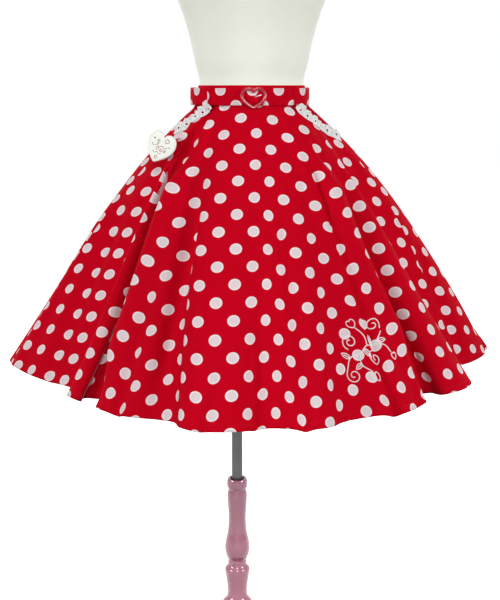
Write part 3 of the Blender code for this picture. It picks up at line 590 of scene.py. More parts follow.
class Nodes:
    """A material's node tree with short ways to add and join nodes."""

    def __init__(self, name, colour, roughness, metallic=0.0):
        self.material = bpy.data.materials.new(name)
        self.material.use_nodes = True
        self.material.diffuse_color = (*colour, 1.0)
        self.tree = self.material.node_tree
        self.shader = self.tree.nodes["Principled BSDF"]
        self.set(Base_Color=colour, Roughness=roughness, Metallic=metallic)

    def put(self, socket, value):
        if isinstance(value, bpy.types.NodeSocket):
            self.tree.links.new(value, socket)
        else:
            socket.default_value = (*value, 1.0) if socket.type == "RGBA" else value

    def set(self, **values):
        """Values or sockets for the shader's own sockets."""
        for key, value in values.items():
            self.put(self.shader.inputs[key.replace("_", " ")], value)

    def add(self, kind, sockets=(), **settings):
        """The outputs of a new node with its settings and its sockets, by number or name."""
        node = self.tree.nodes.new(kind)
        for key, value in settings.items():
            setattr(node, key, value)
        for key, value in dict(sockets).items():
            self.put(node.inputs[key], value)
        return node.outputs

    def math(self, operation, *values):
        return self.add("ShaderNodeMath", enumerate(values), operation=operation)[0]

    def wave(self, value, length):
        return self.math("SINE", self.math("MULTIPLY", value, 2 * math.pi / length))

    def ramp(self, *values):
        """A value between two limits as a share, or as a way from one value to another."""
        return self.add("ShaderNodeMapRange", enumerate(values), interpolation_type="SMOOTHSTEP")[0]

    def mix(self, share, a, b):
        return self.add("ShaderNodeMix", {0: share, 6: a, 7: b}, data_type="RGBA")[2]

    def uv(self, name):
        """A UV map's places, and their two measures."""
        place = self.add("ShaderNodeUVMap", uv_map=name)[0]
        return place, *self.add("ShaderNodeSeparateXYZ", {0: place})[:2]

    def place(self):
        return self.add("ShaderNodeTexCoord")["Object"]

    def noise(self, where, scale, detail=3.0, stretch=None):
        if stretch:
            where = self.add("ShaderNodeMapping", {"Vector": where, "Scale": stretch})[0]
        return self.add("ShaderNodeTexNoise", {"Vector": where, "Scale": scale, "Detail": detail})[0]

    def bump(self, height, distance, strength=1.0, under=None):
        sockets = {"Height": height, "Distance": distance, "Strength": strength}
        if under:
            sockets["Normal"] = under
        return self.add("ShaderNodeBump", sockets)[0]


def dots(m):
    """How much of a dot lies at a place of the print, and how near its rim the place is."""
    where, x, y = m.uv("print")
    far = []
    for offset in (0.0, 0.5):
        steps = []
        for value, step in ((x, DOT_STEP), (y, DOT_ROWS)):
            share = m.math("FRACT", m.math("MULTIPLY_ADD", value, 1.0 / step, 40.5 + offset))
            steps.append(m.math("MULTIPLY", m.math("SUBTRACT", share, 0.5), step))
        across, down = steps
        squares = m.math("MULTIPLY_ADD", across, across, m.math("MULTIPLY", down, down))
        far.append(m.math("SQRT", squares))
    wobble = m.math("SUBTRACT", m.noise(where, 900.0, 2.0), 0.5)
    nearest = m.math("MULTIPLY_ADD", wobble, 0.0006, m.math("MINIMUM", *far))
    inside = m.ramp(nearest, DOT_R - 0.0004, DOT_R + 0.0004, 1.0, 0.0)
    return inside, m.ramp(nearest, DOT_R * 0.62, DOT_R * 0.95)


def stitched_edge(m, under):
    """Stitches pressed into the cloth, in a line a little inside each edge."""
    _, along, edge = m.uv("edge")
    line = m.ramp(m.math("ABSOLUTE", m.math("SUBTRACT", edge, 0.0026)), 0.0, 0.0007, 1.0, 0.0)
    sunk = m.math("MULTIPLY", line, m.ramp(m.wave(along, 0.0026), -0.4, 0.5))
    return m.bump(m.math("MULTIPLY", sunk, -1.0), 0.0004, 0.8, under)


def cotton(name, wrong_side=False, stitched=False):
    """Printed cotton: red with white dots on its right side, paler and faint on its wrong side."""
    m = Nodes(name, (0.58, 0.0, 0.016), 0.82)
    inside, rim = dots(m)
    where, along, down = m.uv("cloth")
    cloud = m.noise(where, 9.0, 4.0)
    if wrong_side:
        ground = m.mix(cloud, (0.62, 0.36, 0.40), (0.70, 0.44, 0.47))
        face = m.mix(m.math("MULTIPLY", inside, 0.7), ground, (0.78, 0.73, 0.75))
    else:
        fibre = m.math("MULTIPLY", m.noise(where, 1500.0, 2.0, (1.0, 0.25, 1.0)), 0.08)
        ground = m.mix(cloud, (0.51, 0.0, 0.009), (0.565, 0.0, 0.013))
        ground = m.mix(fibre, ground, (0.70, 0.01, 0.03))
        face = m.mix(inside, ground, m.mix(rim, (0.74, 0.625, 0.650), (0.87, 0.785, 0.805)))
    # Warp and weft pass over each other in turn
    weave = m.math("MULTIPLY", m.wave(along, 0.00084), m.wave(down, 0.00084))
    slub = m.noise(where, 240.0, 3.0, (1.0, 0.12, 1.0))
    normal = m.bump(slub, 0.00028, 0.6, m.bump(weave, 0.00009, 0.6))
    if stitched:
        normal = stitched_edge(m, normal)
    m.set(Base_Color=face, Normal=normal, Specular_IOR_Level=0.02)
    return m.material


def lace_cotton():
    """White cotton lace: bright stitched rims round its eyelets and edges, greyer net between."""
    m = Nodes("lace_cotton", (0.80, 0.80, 0.80), 0.85)
    where, along, up = m.uv("cloth")
    _, from_hole, from_edge = m.uv("edge")
    cells = {"Vector": where, "Scale": 430.0}
    cell = m.add("ShaderNodeTexVoronoi", cells, feature="DISTANCE_TO_EDGE")[0]
    net = m.ramp(cell, 0.02, 0.28)
    rim = m.ramp(m.math("MINIMUM", from_hole, from_edge), 0.0012, 0.0024, 1.0, 0.0)
    pattern = m.ramp(m.noise(where, 260.0, 4.0), 0.38, 0.62)
    ground = m.mix(pattern, (0.62, 0.62, 0.63), (0.92, 0.92, 0.91))
    ground = m.mix(m.math("MULTIPLY", net, 0.30), ground, (0.92, 0.92, 0.91))
    satin = m.math("MULTIPLY", m.wave(m.math("ADD", along, up), 0.0006), rim)
    raised = m.bump(m.math("ADD", net, pattern), 0.0004, 0.8, m.bump(satin, 0.00010, 0.6))
    m.set(Base_Color=m.mix(rim, ground, (0.97, 0.97, 0.96)), Normal=raised, Specular_IOR_Level=0.15)
    return m.material


def cover_cloth():
    """The dress form's stretched cover: a fine matt knit, off-white with a green cast."""
    m = Nodes("cover_cloth", (0.86, 0.89, 0.79), 0.62)
    where, along, up = m.uv("cloth")
    colour = m.mix(m.noise(where, 14.0, 4.0), (0.87, 0.92, 0.80), (0.91, 0.955, 0.85))
    knit = m.math("MULTIPLY", m.wave(along, 0.0011), m.wave(up, 0.0008))
    uneven = m.bump(m.noise(where, 240.0, 3.0), 0.0001, 0.4, m.bump(knit, 0.00008, 0.5))
    m.set(Base_Color=colour, Normal=uneven, Specular_IOR_Level=0.30)
    return m.material


def plain(name, colour, roughness, clouds=None, gloss=None, bumps=None, metallic=0.0, **settings):
    """A material with clouds of two colours, uneven gloss and fine bumps.

    clouds are a noise and the two colours, gloss a noise and its limits with the roughness at
    each, bumps a noise with their height and strength. A noise is its scale, detail and stretch.
    """
    m = Nodes(name, colour, roughness, metallic)
    where = m.place()
    for key, given, join in (
        ("Base_Color", clouds, m.mix), ("Roughness", gloss, m.ramp), ("Normal", bumps, m.bump)
    ):
        if given:
            settings[key] = join(m.noise(where, *given[0]), *given[1:])
    m.set(**settings)
    return m.material


def silk_thread(name, dark, light):
    return plain(name, light, 0.55, ((900.0, 2.0), dark, light), None, ((1800.0, 2.0), 0.0001, 0.6),
                 Sheen_Weight=0.2, Sheen_Roughness=0.4)


BRUSHED = (260.0, 3.0, (1.0, 1.0, 0.03))
GRAIN = (26.0, 5.0, (1.0, 1.0, 0.06))

COTTON = cotton("dotted_cotton_print")
COTTON_BACK = cotton("dotted_cotton_wrong_side", wrong_side=True)
BELT_COTTON = cotton("belt_cotton", stitched=True)
LACE = lace_cotton()
COVER = cover_cloth()
ENAMEL = plain(
    "glossy_red", (0.56, 0.0, 0.022), 0.12, ((60.0,), (0.38, 0.0, 0.012), (0.47, 0.0, 0.018)),
    ((220.0,), 0.3, 0.8, 0.10, 0.18), ((90.0, 2.0), 0.0001, 0.2),
    Coat_Weight=0.25, Coat_Roughness=0.05, Specular_IOR_Level=0.35,
)
WHITE = plain(
    "satin_white", (0.80, 0.84, 0.76), 0.38, ((35.0,), (0.76, 0.80, 0.73), (0.84, 0.87, 0.80)),
    ((300.0,), 0.3, 0.8, 0.30, 0.46), ((500.0, 2.0), 0.00005, 0.3),
    Coat_Weight=0.15, Coat_Roughness=0.2,
)
INK = plain(
    "printed_ink", (0.38, 0.10, 0.12), 0.5, ((400.0,), (0.34, 0.07, 0.10), (0.46, 0.16, 0.18)),
    None, ((900.0,), 0.00004, 0.3),
)
# Near-black painted shade, for the rings that stand for the brooch's pits
PIT_SHADE = plain(
    "painted_pit_shade", (0.020, 0.010, 0.012), 0.7,
    ((700.0,), (0.012, 0.006, 0.008), (0.035, 0.016, 0.020)),
)
METAL = plain(
    "bright_metal", (0.72, 0.72, 0.73), 0.22, None, ((700.0,), 0.3, 0.8, 0.16, 0.34),
    ((1200.0, 2.0, (1.0, 1.0, 0.2)), 0.00003, 0.3), metallic=1.0,
)
GREY = plain(
    "grey_metal", (0.11, 0.115, 0.105), 0.42,
    ((30.0,), (0.074, 0.077, 0.071), (0.103, 0.106, 0.100)),
    (BRUSHED, 0.3, 0.75, 0.34, 0.52), (BRUSHED, 0.00008, 0.4), metallic=0.55,
)
PINK = plain(
    "pink_lacquer", (0.39, 0.17, 0.225), 0.22,
    (GRAIN, (0.440, 0.140, 0.208), (0.530, 0.175, 0.260)),
    ((90.0,), 0.3, 0.8, 0.16, 0.30), (GRAIN, 0.0003, 0.25),
    Coat_Weight=0.5, Coat_Roughness=0.08,
)
WHITE_THREAD = silk_thread("white_thread", (0.72, 0.68, 0.70), (0.90, 0.87, 0.88))
RED_THREAD = silk_thread("red_thread", (0.42, 0.0, 0.010), (0.56, 0.0, 0.016))


# Meshes


def add_object(name, data):
    obj = bpy.data.objects.new(name, data)
    bpy.context.scene.collection.objects.link(obj)
    return obj


def rework(mesh, change):
    bm = bmesh.new()
    bm.from_mesh(mesh)
    change(bm)
    bm.to_mesh(mesh)
    bm.free()


def make_object(name, points, quads, materials, uvs=None, picks=None, caps=None, smooth=True):
    """An object from points and faces; uvs are named lists with one place for each point.

    Where caps are given, even none, the shape is closed: its faces are turned outwards, and its
    edges are sharp where they are steep.
    """
    mesh = bpy.data.meshes.new(name)
    points = np.asarray(points, float).reshape(-1, 3)
    mesh.from_pydata(points.tolist(), [], np.asarray(quads).tolist() + (caps or []))
    for material in materials:
        mesh.materials.append(material)
    if picks is not None:
        mesh.polygons.foreach_set("material_index", np.asarray(picks, np.int32))
    corners = np.empty(len(mesh.loops), np.int32)
    mesh.loops.foreach_get("vertex_index", corners)
    for key, places in (uvs or {}).items():
        layer = mesh.uv_layers.new(name=key)
        layer.data.foreach_set("uv", np.asarray(places, float).reshape(-1, 2)[corners].ravel())
    if caps is not None:
        rework(mesh, lambda bm: bmesh.ops.recalc_face_normals(bm, faces=bm.faces))
    if smooth:
        mesh.shade_smooth()
    if caps is not None:
        mesh.set_sharp_from_angle(angle=SHARP)
    mesh.update()
    return add_object(name, mesh)


def tube(name, lines, radius, material, resolution=2):
    """Threads or rods along lines of points, as one mesh."""
    curve = bpy.data.curves.new(name, "CURVE")
    curve.dimensions = "3D"
    curve.bevel_depth = radius
    curve.bevel_resolution = resolution
    curve.use_fill_caps = True
    for line in lines:
        spline = curve.splines.new("POLY")
        spline.points.add(len(line) - 1)
        spline.points.foreach_set("co", np.insert(line, 3, 1.0, axis=1).ravel())
    made = add_object(name + "_line", curve)
    depsgraph = bpy.context.evaluated_depsgraph_get()
    mesh = bpy.data.meshes.new_from_object(made.evaluated_get(depsgraph))
    bpy.data.objects.remove(made, do_unlink=True)
    mesh.materials.clear()
    mesh.materials.append(material)
    mesh.shade_smooth()
    return add_object(name, mesh)


def wear(obj, slot, *nodes):
    """The piece rides on the model's one body and stands for CAD nodes."""
    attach(obj, "root")
    if nodes:
        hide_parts(*nodes)


def grid_quads(rows, columns, first=0, flip=False, closed=False):
    r = np.arange(rows - 1)[:, None]
    c = np.arange(columns if closed else columns - 1)[None, :]
    n = (c + 1) % columns
    quads = np.stack([
        r * columns + c, (r + 1) * columns + c, (r + 1) * columns + n, r * columns + n
    ], axis=-1).reshape(-1, 4) + first
    return quads[:, ::-1] if flip else quads


def ring_closing(rings, sides):
    """The quads between the last ring and the first of a tube that closes on itself."""
    c = np.arange(sides)
    n = (c + 1) % sides
    last = (rings - 1) * sides
    return np.stack([last + c, c, n, last + n], axis=-1)


def end_caps(rings, sides, flip=False):
    """One face for each end of a tube of rings."""
    first = list(range(sides))
    caps = [first, [rings * sides - 1 - k for k in first]]
    return [cap[::-1] for cap in caps] if flip else caps


def border_quads(faces, offset):
    """Quads along the free edges of faces, to the same points in a second shell."""
    seen = {(a, b) for face in faces.tolist() for a, b in zip(face, face[1:] + face[:1])}
    free = [(b, a, a + offset, b + offset) for a, b in seen if (b, a) not in seen]
    return np.array(sorted(free))


# Cloth


def print_place(turn, slant, middle=0.0):
    """Where a place of a panel lies on the print, its grain running down the panel's middle."""
    angle = turn - middle + PRINT_TURN
    if middle == 0.0:
        at, turned_by, down_by = zip(*PRINT_SHIFT)
        share = np.sqrt(np.clip(slant / LENGTH, 0, 1))
        angle = angle + np.radians(np.interp(np.degrees(turn), at, turned_by)) * share
        slant = slant + np.interp(np.degrees(turn), at, down_by) * share
    radius = SEAM_RADIUS + slant
    place = np.stack([radius * np.sin(angle), radius * np.cos(angle)], axis=-1)
    return place - np.array(PRINT_OFFSET)


def crease_length(turn, slant, outer):
    """How much further round the print goes where creases make the rows longer, beside them only."""
    creased, plain_cloth = (
        np.linalg.norm(np.diff(cloth_points(turn, slant, out), axis=1), axis=-1)
        for out in (outer, 0.0)
    )
    extra = np.zeros(turn.shape)
    extra[:, 1:] = np.cumsum(creased - plain_cloth, axis=1)
    window = 2 * PRINT_EASE + 1
    total = np.cumsum(np.pad(extra, ((0, 0), (PRINT_EASE + 1, PRINT_EASE)), mode="edge"), axis=1)
    mean = (total[:, window:] - total[:, :-window]) / window
    return PRINT_TAKEN * (extra - mean) / (SEAM_RADIUS + slant)


def cloth_sheet(name, turn, slant, outer, wall, middle=0.0):
    """Cloth of a wall's thickness over a grid of flat places, its right side moved outwards."""
    rows, columns = turn.shape
    count = rows * columns
    shells = [cloth_points(turn, slant, out) for out in (outer, outer - wall)]
    index = np.arange(count).reshape(rows, columns)
    rim = []
    for line in (index[0], index[:, -1], index[-1, ::-1], index[::-1, 0]):
        a, b = line[:-1], line[1:]
        rim.append(np.stack([a, b, b + count, a + count], axis=-1))
    faces = [
        grid_quads(rows, columns),
        grid_quads(rows, columns, count, True),
        np.concatenate(rim),
    ]
    picks = np.concatenate([np.full(len(f), k) for f, k in zip(faces, (0, 1, 0))])
    eased = turn + crease_length(turn, slant, outer)
    laid = np.stack([turn * (SEAM_RADIUS + slant), slant], axis=-1)
    uvs = {"print": [print_place(eased, slant, middle)] * 2, "cloth": [laid] * 2}
    return make_object(name, shells, np.concatenate(faces), [COTTON, COTTON_BACK], uvs, picks)


def pocket_line(turn):
    """How far below the waist seam the front panel's edge lies at flat angles."""
    turn = np.asarray(turn, float)
    side = (turn >= 0).astype(int)
    start = np.abs(np.array(POCKET_TOP))[side]
    past = np.clip((np.abs(turn) - start) / (SIDE_SEAM - start), 0, None)
    return np.array(POCKET_DEEP)[side] * past ** np.array(POCKET_BEND)[side]


def make_panel(name, turn_a, turn_b, columns, middle, flat, area):
    share = np.linspace(0.0, 1.0, PANEL_ROWS + 1)[:, None]
    turn = np.linspace(turn_a, turn_b, columns + 1)[None, :]
    top = pocket_line(turn) if name == "front" else np.zeros(turn.shape)
    top = top - SEAM_TURN_UP * np.clip(1.0 - top / 0.004, 0, 1)
    slant = top + (LENGTH - top) * share
    radius = SEAM_RADIUS + slant
    shy = SEAM_SHY / radius
    turn = np.clip(np.broadcast_to(turn, slant.shape), turn_a + shy, turn_b - shy)
    edge = np.minimum(turn - turn_a, turn_b - turn) * radius
    rolled = SEAM_ROLL * np.clip(1.0 - edge / SEAM_ROLL_WIDTH, 0, 1) ** 2
    hem = HEM_LINE * np.clip(1.0 - np.abs(LENGTH - slant - HEM_UP) / HEM_LINE_WIDTH, 0, 1)
    outer = -rolled - hem - crease_depth(turn, slant)
    obj = cloth_sheet("skirt_%s_cloth" % name, turn, slant, outer, CLOTH_WALL, middle)
    wear(obj, "dotted_cotton", "skirt_" + name)


def make_hem(name, turn_a, turn_b, columns, middle):
    """The hem's turned-up allowance, on the wrong side of a panel."""
    turn = np.linspace(turn_a + 0.004, turn_b - 0.004, columns + 1)[None, :]
    slant = np.linspace(LENGTH - HEM_UP, LENGTH - HEM_WALL, 4)[:, None]
    turn, slant = np.broadcast_arrays(turn, slant)
    inner = -CLOTH_WALL - 0.0001 - crease_depth(turn, slant)
    wear(cloth_sheet("hem_" + name, turn, slant, inner, HEM_WALL, middle), "dotted_cotton")


def make_pocket_back(name, side):
    sign = 1 if side else -1
    start = abs(POCKET_TOP[side]) - math.radians(3.0)
    end = SIDE_SEAM + math.radians(2.0)
    turns = np.linspace(start, end, 64)
    deep = pocket_line(sign * np.minimum(turns, SIDE_SEAM)) + POCKET_LAP
    share = np.linspace(0.0, 1.0, 22)[:, None]
    slant = -SEAM_TURN_UP + (deep[None, :] + SEAM_TURN_UP) * share
    turn = np.broadcast_to(sign * turns[None, :], slant.shape)
    if sign < 0:
        turn, slant = turn[:, ::-1], slant[:, ::-1]
    obj = cloth_sheet(name + "_cloth", turn, slant, -POCKET_INSET, POCKET_WALL)
    wear(obj, "dotted_cotton", name)


# Waistband, belt, loops and buckle


def soft_section(top, low, wall, steps=14, round_by=0.0006):
    """A strap's section with rounded edges, as (outward, drop), from its top edge round."""
    middle = np.linspace(top + round_by, low - round_by, steps)
    puff = 0.00022 * np.sin(np.pi * (middle - top) / (low - top))
    corner = round_by * 0.35
    return np.array([
        (-wall / 2, top),
        (-corner, top + corner),
        *zip(puff, middle),
        (-corner, low - corner),
        (-wall / 2, low),
        (-wall + corner / 2, low - corner),
        *((-wall, drop) for drop in middle[::-1]),
        (-wall + corner / 2, top + corner),
    ])


def strap(name, section, azimuths, halves, span, first_dot, shift=0.0, lift=0.0):
    """A strap round the form: a section of (outward, drop) swept through azimuths."""
    outward, drop = section.T
    rings, count = len(azimuths), len(section)
    out = outward + np.broadcast_to(lift, rings)[:, None]
    points = round_form(halves, azimuths[:, None], out, drop, shift)
    step = travelled(round_form(halves, azimuths, 0.0, sum(span) / 2, shift))
    zero = np.interp(0.0 if azimuths[0] < 0 else 2 * math.pi, azimuths, step)
    along, drop = np.broadcast_arrays((step - zero)[:, None], drop)
    # The belt's lengthways fold takes up cloth between the print's rows
    fold = np.clip((drop - first_dot[1] - DOT_R) / 0.0080, 0, 1) if first_dot == BELT_PRINT else 0.0
    printed = drop - first_dot[1] + BELT_FOLD * fold
    uvs = {
        "print": np.stack([along - first_dot[0], printed], axis=-1),
        "cloth": np.stack([along, drop], axis=-1),
        "edge": np.stack([along, np.minimum(drop - span[0], span[1] - drop)], axis=-1),
    }
    quads = grid_quads(rings, count, closed=True, flip=True)
    return make_object(name, points, quads, [BELT_COTTON], uvs, caps=end_caps(rings, count))


def make_waistband():
    slit = 0.0005 / BAND_TOP_HALF[1]
    azimuths = np.linspace(-math.pi + slit, math.pi - slit, 180)
    section = soft_section(0.0, BAND_HEIGHT, 0.0015)
    halves = (BAND_TOP_HALF, BAND_LOW_HALF)
    obj = strap("waistband_cloth", section, azimuths, halves, (0.0, BAND_HEIGHT), BAND_PRINT)
    wear(obj, "dotted_cotton", "waistband")


def make_belt():
    start = BUCKLE_X / BELT_HALF[0]
    lap = BELT_TIP / BELT_HALF[0]
    azimuths = np.linspace(start, start + 2 * math.pi + lap, 240)
    section = soft_section(BELT_TOP, BELT_LOW, BELT_WALL)
    lift = (BELT_WALL + 0.0003) * smooth((azimuths - start - 2 * math.pi + 0.20) / 0.13)
    obj = strap("belt_cloth", section, azimuths, (BELT_HALF, BELT_HALF), (BELT_TOP, BELT_LOW),
                BELT_PRINT, BELT_SHIFT, lift)
    wear(obj, "dotted_cotton", "belt")


def make_loop(number, azimuth):
    """A belt loop: a folded strip with rounded edges, over the belt and back under it."""
    low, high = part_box("belt_loop_%d" % number)
    low_z, top_z = low[2], high[2]
    wall = LOOP_WALL
    line = np.array([
        (-LOOP_TOP_DEEP, top_z - wall / 2),
        (-0.0015, top_z - wall / 2),
        (0.0, top_z - wall * 0.7),
        (wall / 2, top_z - wall * 1.8),
        (wall / 2 + 0.0003, (top_z + low_z) / 2),
        (wall / 2, low_z + wall * 1.8),
        (0.0, low_z + wall * 0.7),
        (-0.0015, low_z + wall / 2),
        (-LOOP_LOW_DEEP, low_z + wall / 2),
    ])
    section = np.array([
        (-0.5, 0.0), (-0.42, 0.5), (0.0, 0.62), (0.42, 0.5), (0.5, 0.0), (0.42, -0.5), (-0.42, -0.5)
    ])
    across, thick = section[:, 0] * LOOP_WIDTH, section[:, 1] * wall
    ends = np.vstack([line[:1], line, line[-1:]])
    normal = -crosswise(unit(ends[2:] - ends[:-2]))
    place = line[:, None] + normal[:, None] * thick[:, None]
    turn = math.radians(azimuth)
    foot, outer = round_form((BELT_HALF, BELT_HALF), turn, np.array([0.0003, 1.0003]), 0.0, BELT_SHIFT)
    outward = (outer - foot)[:2]
    aside = -crosswise(outward)
    flat = foot[:2] + outward * place[..., :1] + aside * across[:, None]
    points = np.concatenate([flat, place[..., 1:]], axis=-1)
    spot = np.stack(np.broadcast_arrays(across, travelled(line)[:, None]), axis=-1)
    edge = np.stack([spot[..., 1], LOOP_WIDTH / 2 - np.abs(spot[..., 0])], axis=-1)
    printed = spot + np.array([0.031 + 0.011 * number, 0.010 * number])
    uvs = {"print": printed, "cloth": spot, "edge": edge}
    rings, sides = len(line), len(section)
    obj = make_object("loop_cloth_%d" % number, points, grid_quads(rings, sides, closed=True),
                      [BELT_COTTON], uvs, caps=end_caps(rings, sides))
    wear(obj, "dotted_cotton", "belt_loop_%d" % number)


def heart_outline(half_width, height, per_span):
    """A heart's outline round its middle, its point at the bottom, clockwise from its notch."""
    right = [(x * half_width, z * height) for x, z in HEART]
    left = [(-x, z) for x, z in right[-2:0:-1]]
    return closed_curve(np.array(right + left), per_span)


def make_buckle():
    outline = heart_outline(BUCKLE_HALF_WIDTH - BUCKLE_RIM, BUCKLE_HEIGHT - 2 * BUCKLE_RIM, 6)
    aside = crosswise(unit(np.roll(outline, -1, axis=0) - np.roll(outline, 1, axis=0)))
    count, sides = len(outline), 14
    angle = 2 * np.pi * np.arange(sides) / sides
    flat = outline[:, None] + aside[:, None] * (np.cos(angle) * BUCKLE_RIM)[:, None]
    high = np.copysign(np.abs(np.sin(angle)) ** 0.8, np.sin(angle))
    drop = BUCKLE_TOP + BUCKLE_HEIGHT / 2 - flat[..., 1]
    lean = BUCKLE_LEAN * (np.maximum(drop, 0.0) / (BUCKLE_TOP + BUCKLE_HEIGHT)) ** 2
    out = BELT_WALL + 0.0007 + lean + (high + 1.0) / 2 * BUCKLE_THICK
    azimuth = (BUCKLE_X + flat[..., 0] - BELT_SHIFT) / BELT_HALF[0]
    points = round_form((BELT_HALF, BELT_HALF), azimuth, out, drop, BELT_SHIFT)
    quads = np.vstack([grid_quads(count, sides, closed=True), ring_closing(count, sides)])
    wear(make_object("heart_buckle", points, quads, [ENAMEL], caps=[]), "red_enamel", "buckle")


# Lace


def pocket_edge(side, share):
    """Places of the flat pocket edge and the ways up from it, at shares of its length."""
    limit = SIDE_SEAM if side else -SIDE_SEAM

    def at(part):
        turn = POCKET_TOP[side] + (limit - POCKET_TOP[side]) * part
        radius = SEAM_RADIUS + POCKET_DEEP[side] * np.maximum(part, 0.0) ** POCKET_BEND[side]
        return np.stack([radius * np.sin(turn), radius * np.cos(turn)], axis=-1)

    up = crosswise(unit(at(np.minimum(share + 0.04, 1.0)) - at(np.maximum(share - 0.04, 0.0))))
    return at(share), np.where(up[..., 1:] > 0, -up, up)


def lace_outline(left, repeat):
    """One repeat's rim, from its lower left corner round: a wavy lower edge and a frilled scallop."""
    low, side, scallop = (np.linspace(0.0, 1.0, steps + 1) for steps in (14, 4, 40))
    right = left + repeat
    below = LACE_BELOW_TOP + (LACE_BELOW_LOW - LACE_BELOW_TOP) * np.minimum(
        (left + repeat * low) / LACE_FULL, 1.0
    )
    hang = LACE_TUCK * (1.0 - np.sin(np.pi * low).clip(0) ** 0.6) - below
    rise = np.sin(np.pi * scallop).clip(0) ** 0.7
    rise[[0, -1]] = 0.0
    frill = LACE_FRILL * np.abs(np.sin(4 * np.pi * scallop)) ** 0.6
    top = LACE_VALLEY + (LACE_PEAK - LACE_VALLEY) * rise + frill
    return np.concatenate([
        np.stack([left + repeat * low, hang], axis=-1),
        np.stack([np.full(4, right), hang[-1] * (1 - side[1:])], axis=-1),
        np.stack([right - repeat * scallop, top], axis=-1),
        np.stack([np.full(4, left), hang[0] * side[:-1]], axis=-1),
    ])


def make_lace(name, side):
    """Scalloped eyelet lace with raised, stitched rims round its eyelets and along its edges."""
    top, low = (Vector(pocket_edge(side, end)[0]) for end in (0.0, 1.0))
    length = (low - top).length
    repeat = length / LACE_REPEATS
    rings = 12
    share = np.linspace(0.0, 1.0, rings + 1)[:, None, None]
    repeats, rims, faces = [], [], []
    for r in range(LACE_REPEATS):
        middle = np.array([(r + 0.5) * repeat, EYELET_UP])
        outline = lace_outline(r * repeat, repeat)
        angle = np.arctan2(*(outline - middle).T[::-1])
        reach = np.stack([EYELET_HALF_WIDTH * np.cos(angle), EYELET_HALF_HEIGHT * np.sin(angle)], -1)
        hole = middle + reach
        laid = outline + (hole - outline) * share
        from_hole = np.linalg.norm(laid - hole, axis=-1)
        seam = np.abs(np.abs(outline[:, 0] - middle[0]) - repeat / 2) < 1e-6
        from_edge = np.where(seam, 0.01, np.linalg.norm(laid - outline, axis=-1))
        first = r * (rings + 1) * len(outline)
        faces.append(grid_quads(rings + 1, len(outline), first, closed=True))
        repeats.append(laid.reshape(-1, 2))
        rims.append(np.stack([from_hole, from_edge], axis=-1).reshape(-1, 2))
    laid, rims, faces = (np.concatenate(parts) for parts in (repeats, rims, faces))
    along, height = laid.T
    raised = sum(
        high * np.exp(-((rim - inside) / width) ** 2)
        for rim, (high, inside, width) in zip(rims.T, LACE_RIMS)
    )
    edge, up = pocket_edge(side, along / length)
    place = edge + up * height[:, None]
    limit = SIDE_SEAM + math.radians(1.5)
    turn = np.arctan2(*place.T).clip(-limit, limit)
    slant = np.linalg.norm(place, axis=-1) - SEAM_RADIUS
    swing = LACE_SWING * smooth(1.0 - slant / LACE_SWING_FROM)
    ruffle = LACE_RUFFLE * np.sin(along / repeat * 4 * math.pi) * np.clip(height / LACE_PEAK, 0, 1)
    lean = LACE_LEAN * np.maximum(height + 0.004, 0.0) + ruffle
    shells = []
    for depth in (LACE_WALL * 0.9 + raised, 0.0):
        points = cloth_points(turn, slant, LACE_OFF + lean + depth)
        points[:, :2] += unit(points[:, :2] - np.array([FORM_X, 0.0])) * swing[:, None]
        shells.append(points)
    corner = shells[0][faces[0]]
    facing = np.cross(corner[1] - corner[0], corner[3] - corner[0])
    if np.dot(facing[:2], corner[0][:2] - np.array([FORM_X, 0.0])) < 0:
        faces = faces[:, ::-1]
    count = len(turn)
    both = np.concatenate([faces, faces[:, ::-1] + count, border_quads(faces, count)])
    obj = make_object(name + "_fine", shells, both, [LACE], {"cloth": [laid] * 2, "edge": [rims] * 2})
    rework(obj.data, lambda bm: bmesh.ops.remove_doubles(bm, verts=bm.verts, dist=0.00004))
    wear(obj, "eyelet_lace", name)


# Drawn lines, embroidery and stitches


def turned_by(angle):
    """The matrix that turns rows of flat places by an angle."""
    return np.array([[math.cos(angle), math.sin(angle)], [-math.sin(angle), math.cos(angle)]])


def curl(middle, radius, turns, start, way=1):
    """A spiral that winds in towards its middle, from a direction in degrees."""
    share = np.linspace(0.0, 1.0, int(26 * turns))
    angle = math.radians(start) + way * 2 * math.pi * turns * share
    reach = radius * (1 - 0.82 * share)
    return np.stack([middle[0] + reach * np.cos(angle), middle[1] + reach * np.sin(angle)], axis=-1)


def leaf(foot, length, width, degrees):
    """A leaf's outline and its middle vein, from its foot."""
    share = np.linspace(0.0, 1.0, 12)
    side = np.stack([share * length, width / 2 * np.sin(np.pi * share ** 0.8)], axis=-1)
    outline = np.vstack([side, (side * (1, -1))[::-1]])
    vein = np.array([(0.0, 0.0), (length * 0.7, 0.0)])
    turn = turned_by(math.radians(degrees))
    return [line @ turn + foot for line in (outline, vein)]


def small_heart(middle, size, angle):
    outline = heart_outline(size / 2, size * 0.95, 4)
    return np.vstack([outline, outline[:1]]) @ turned_by(angle) + middle


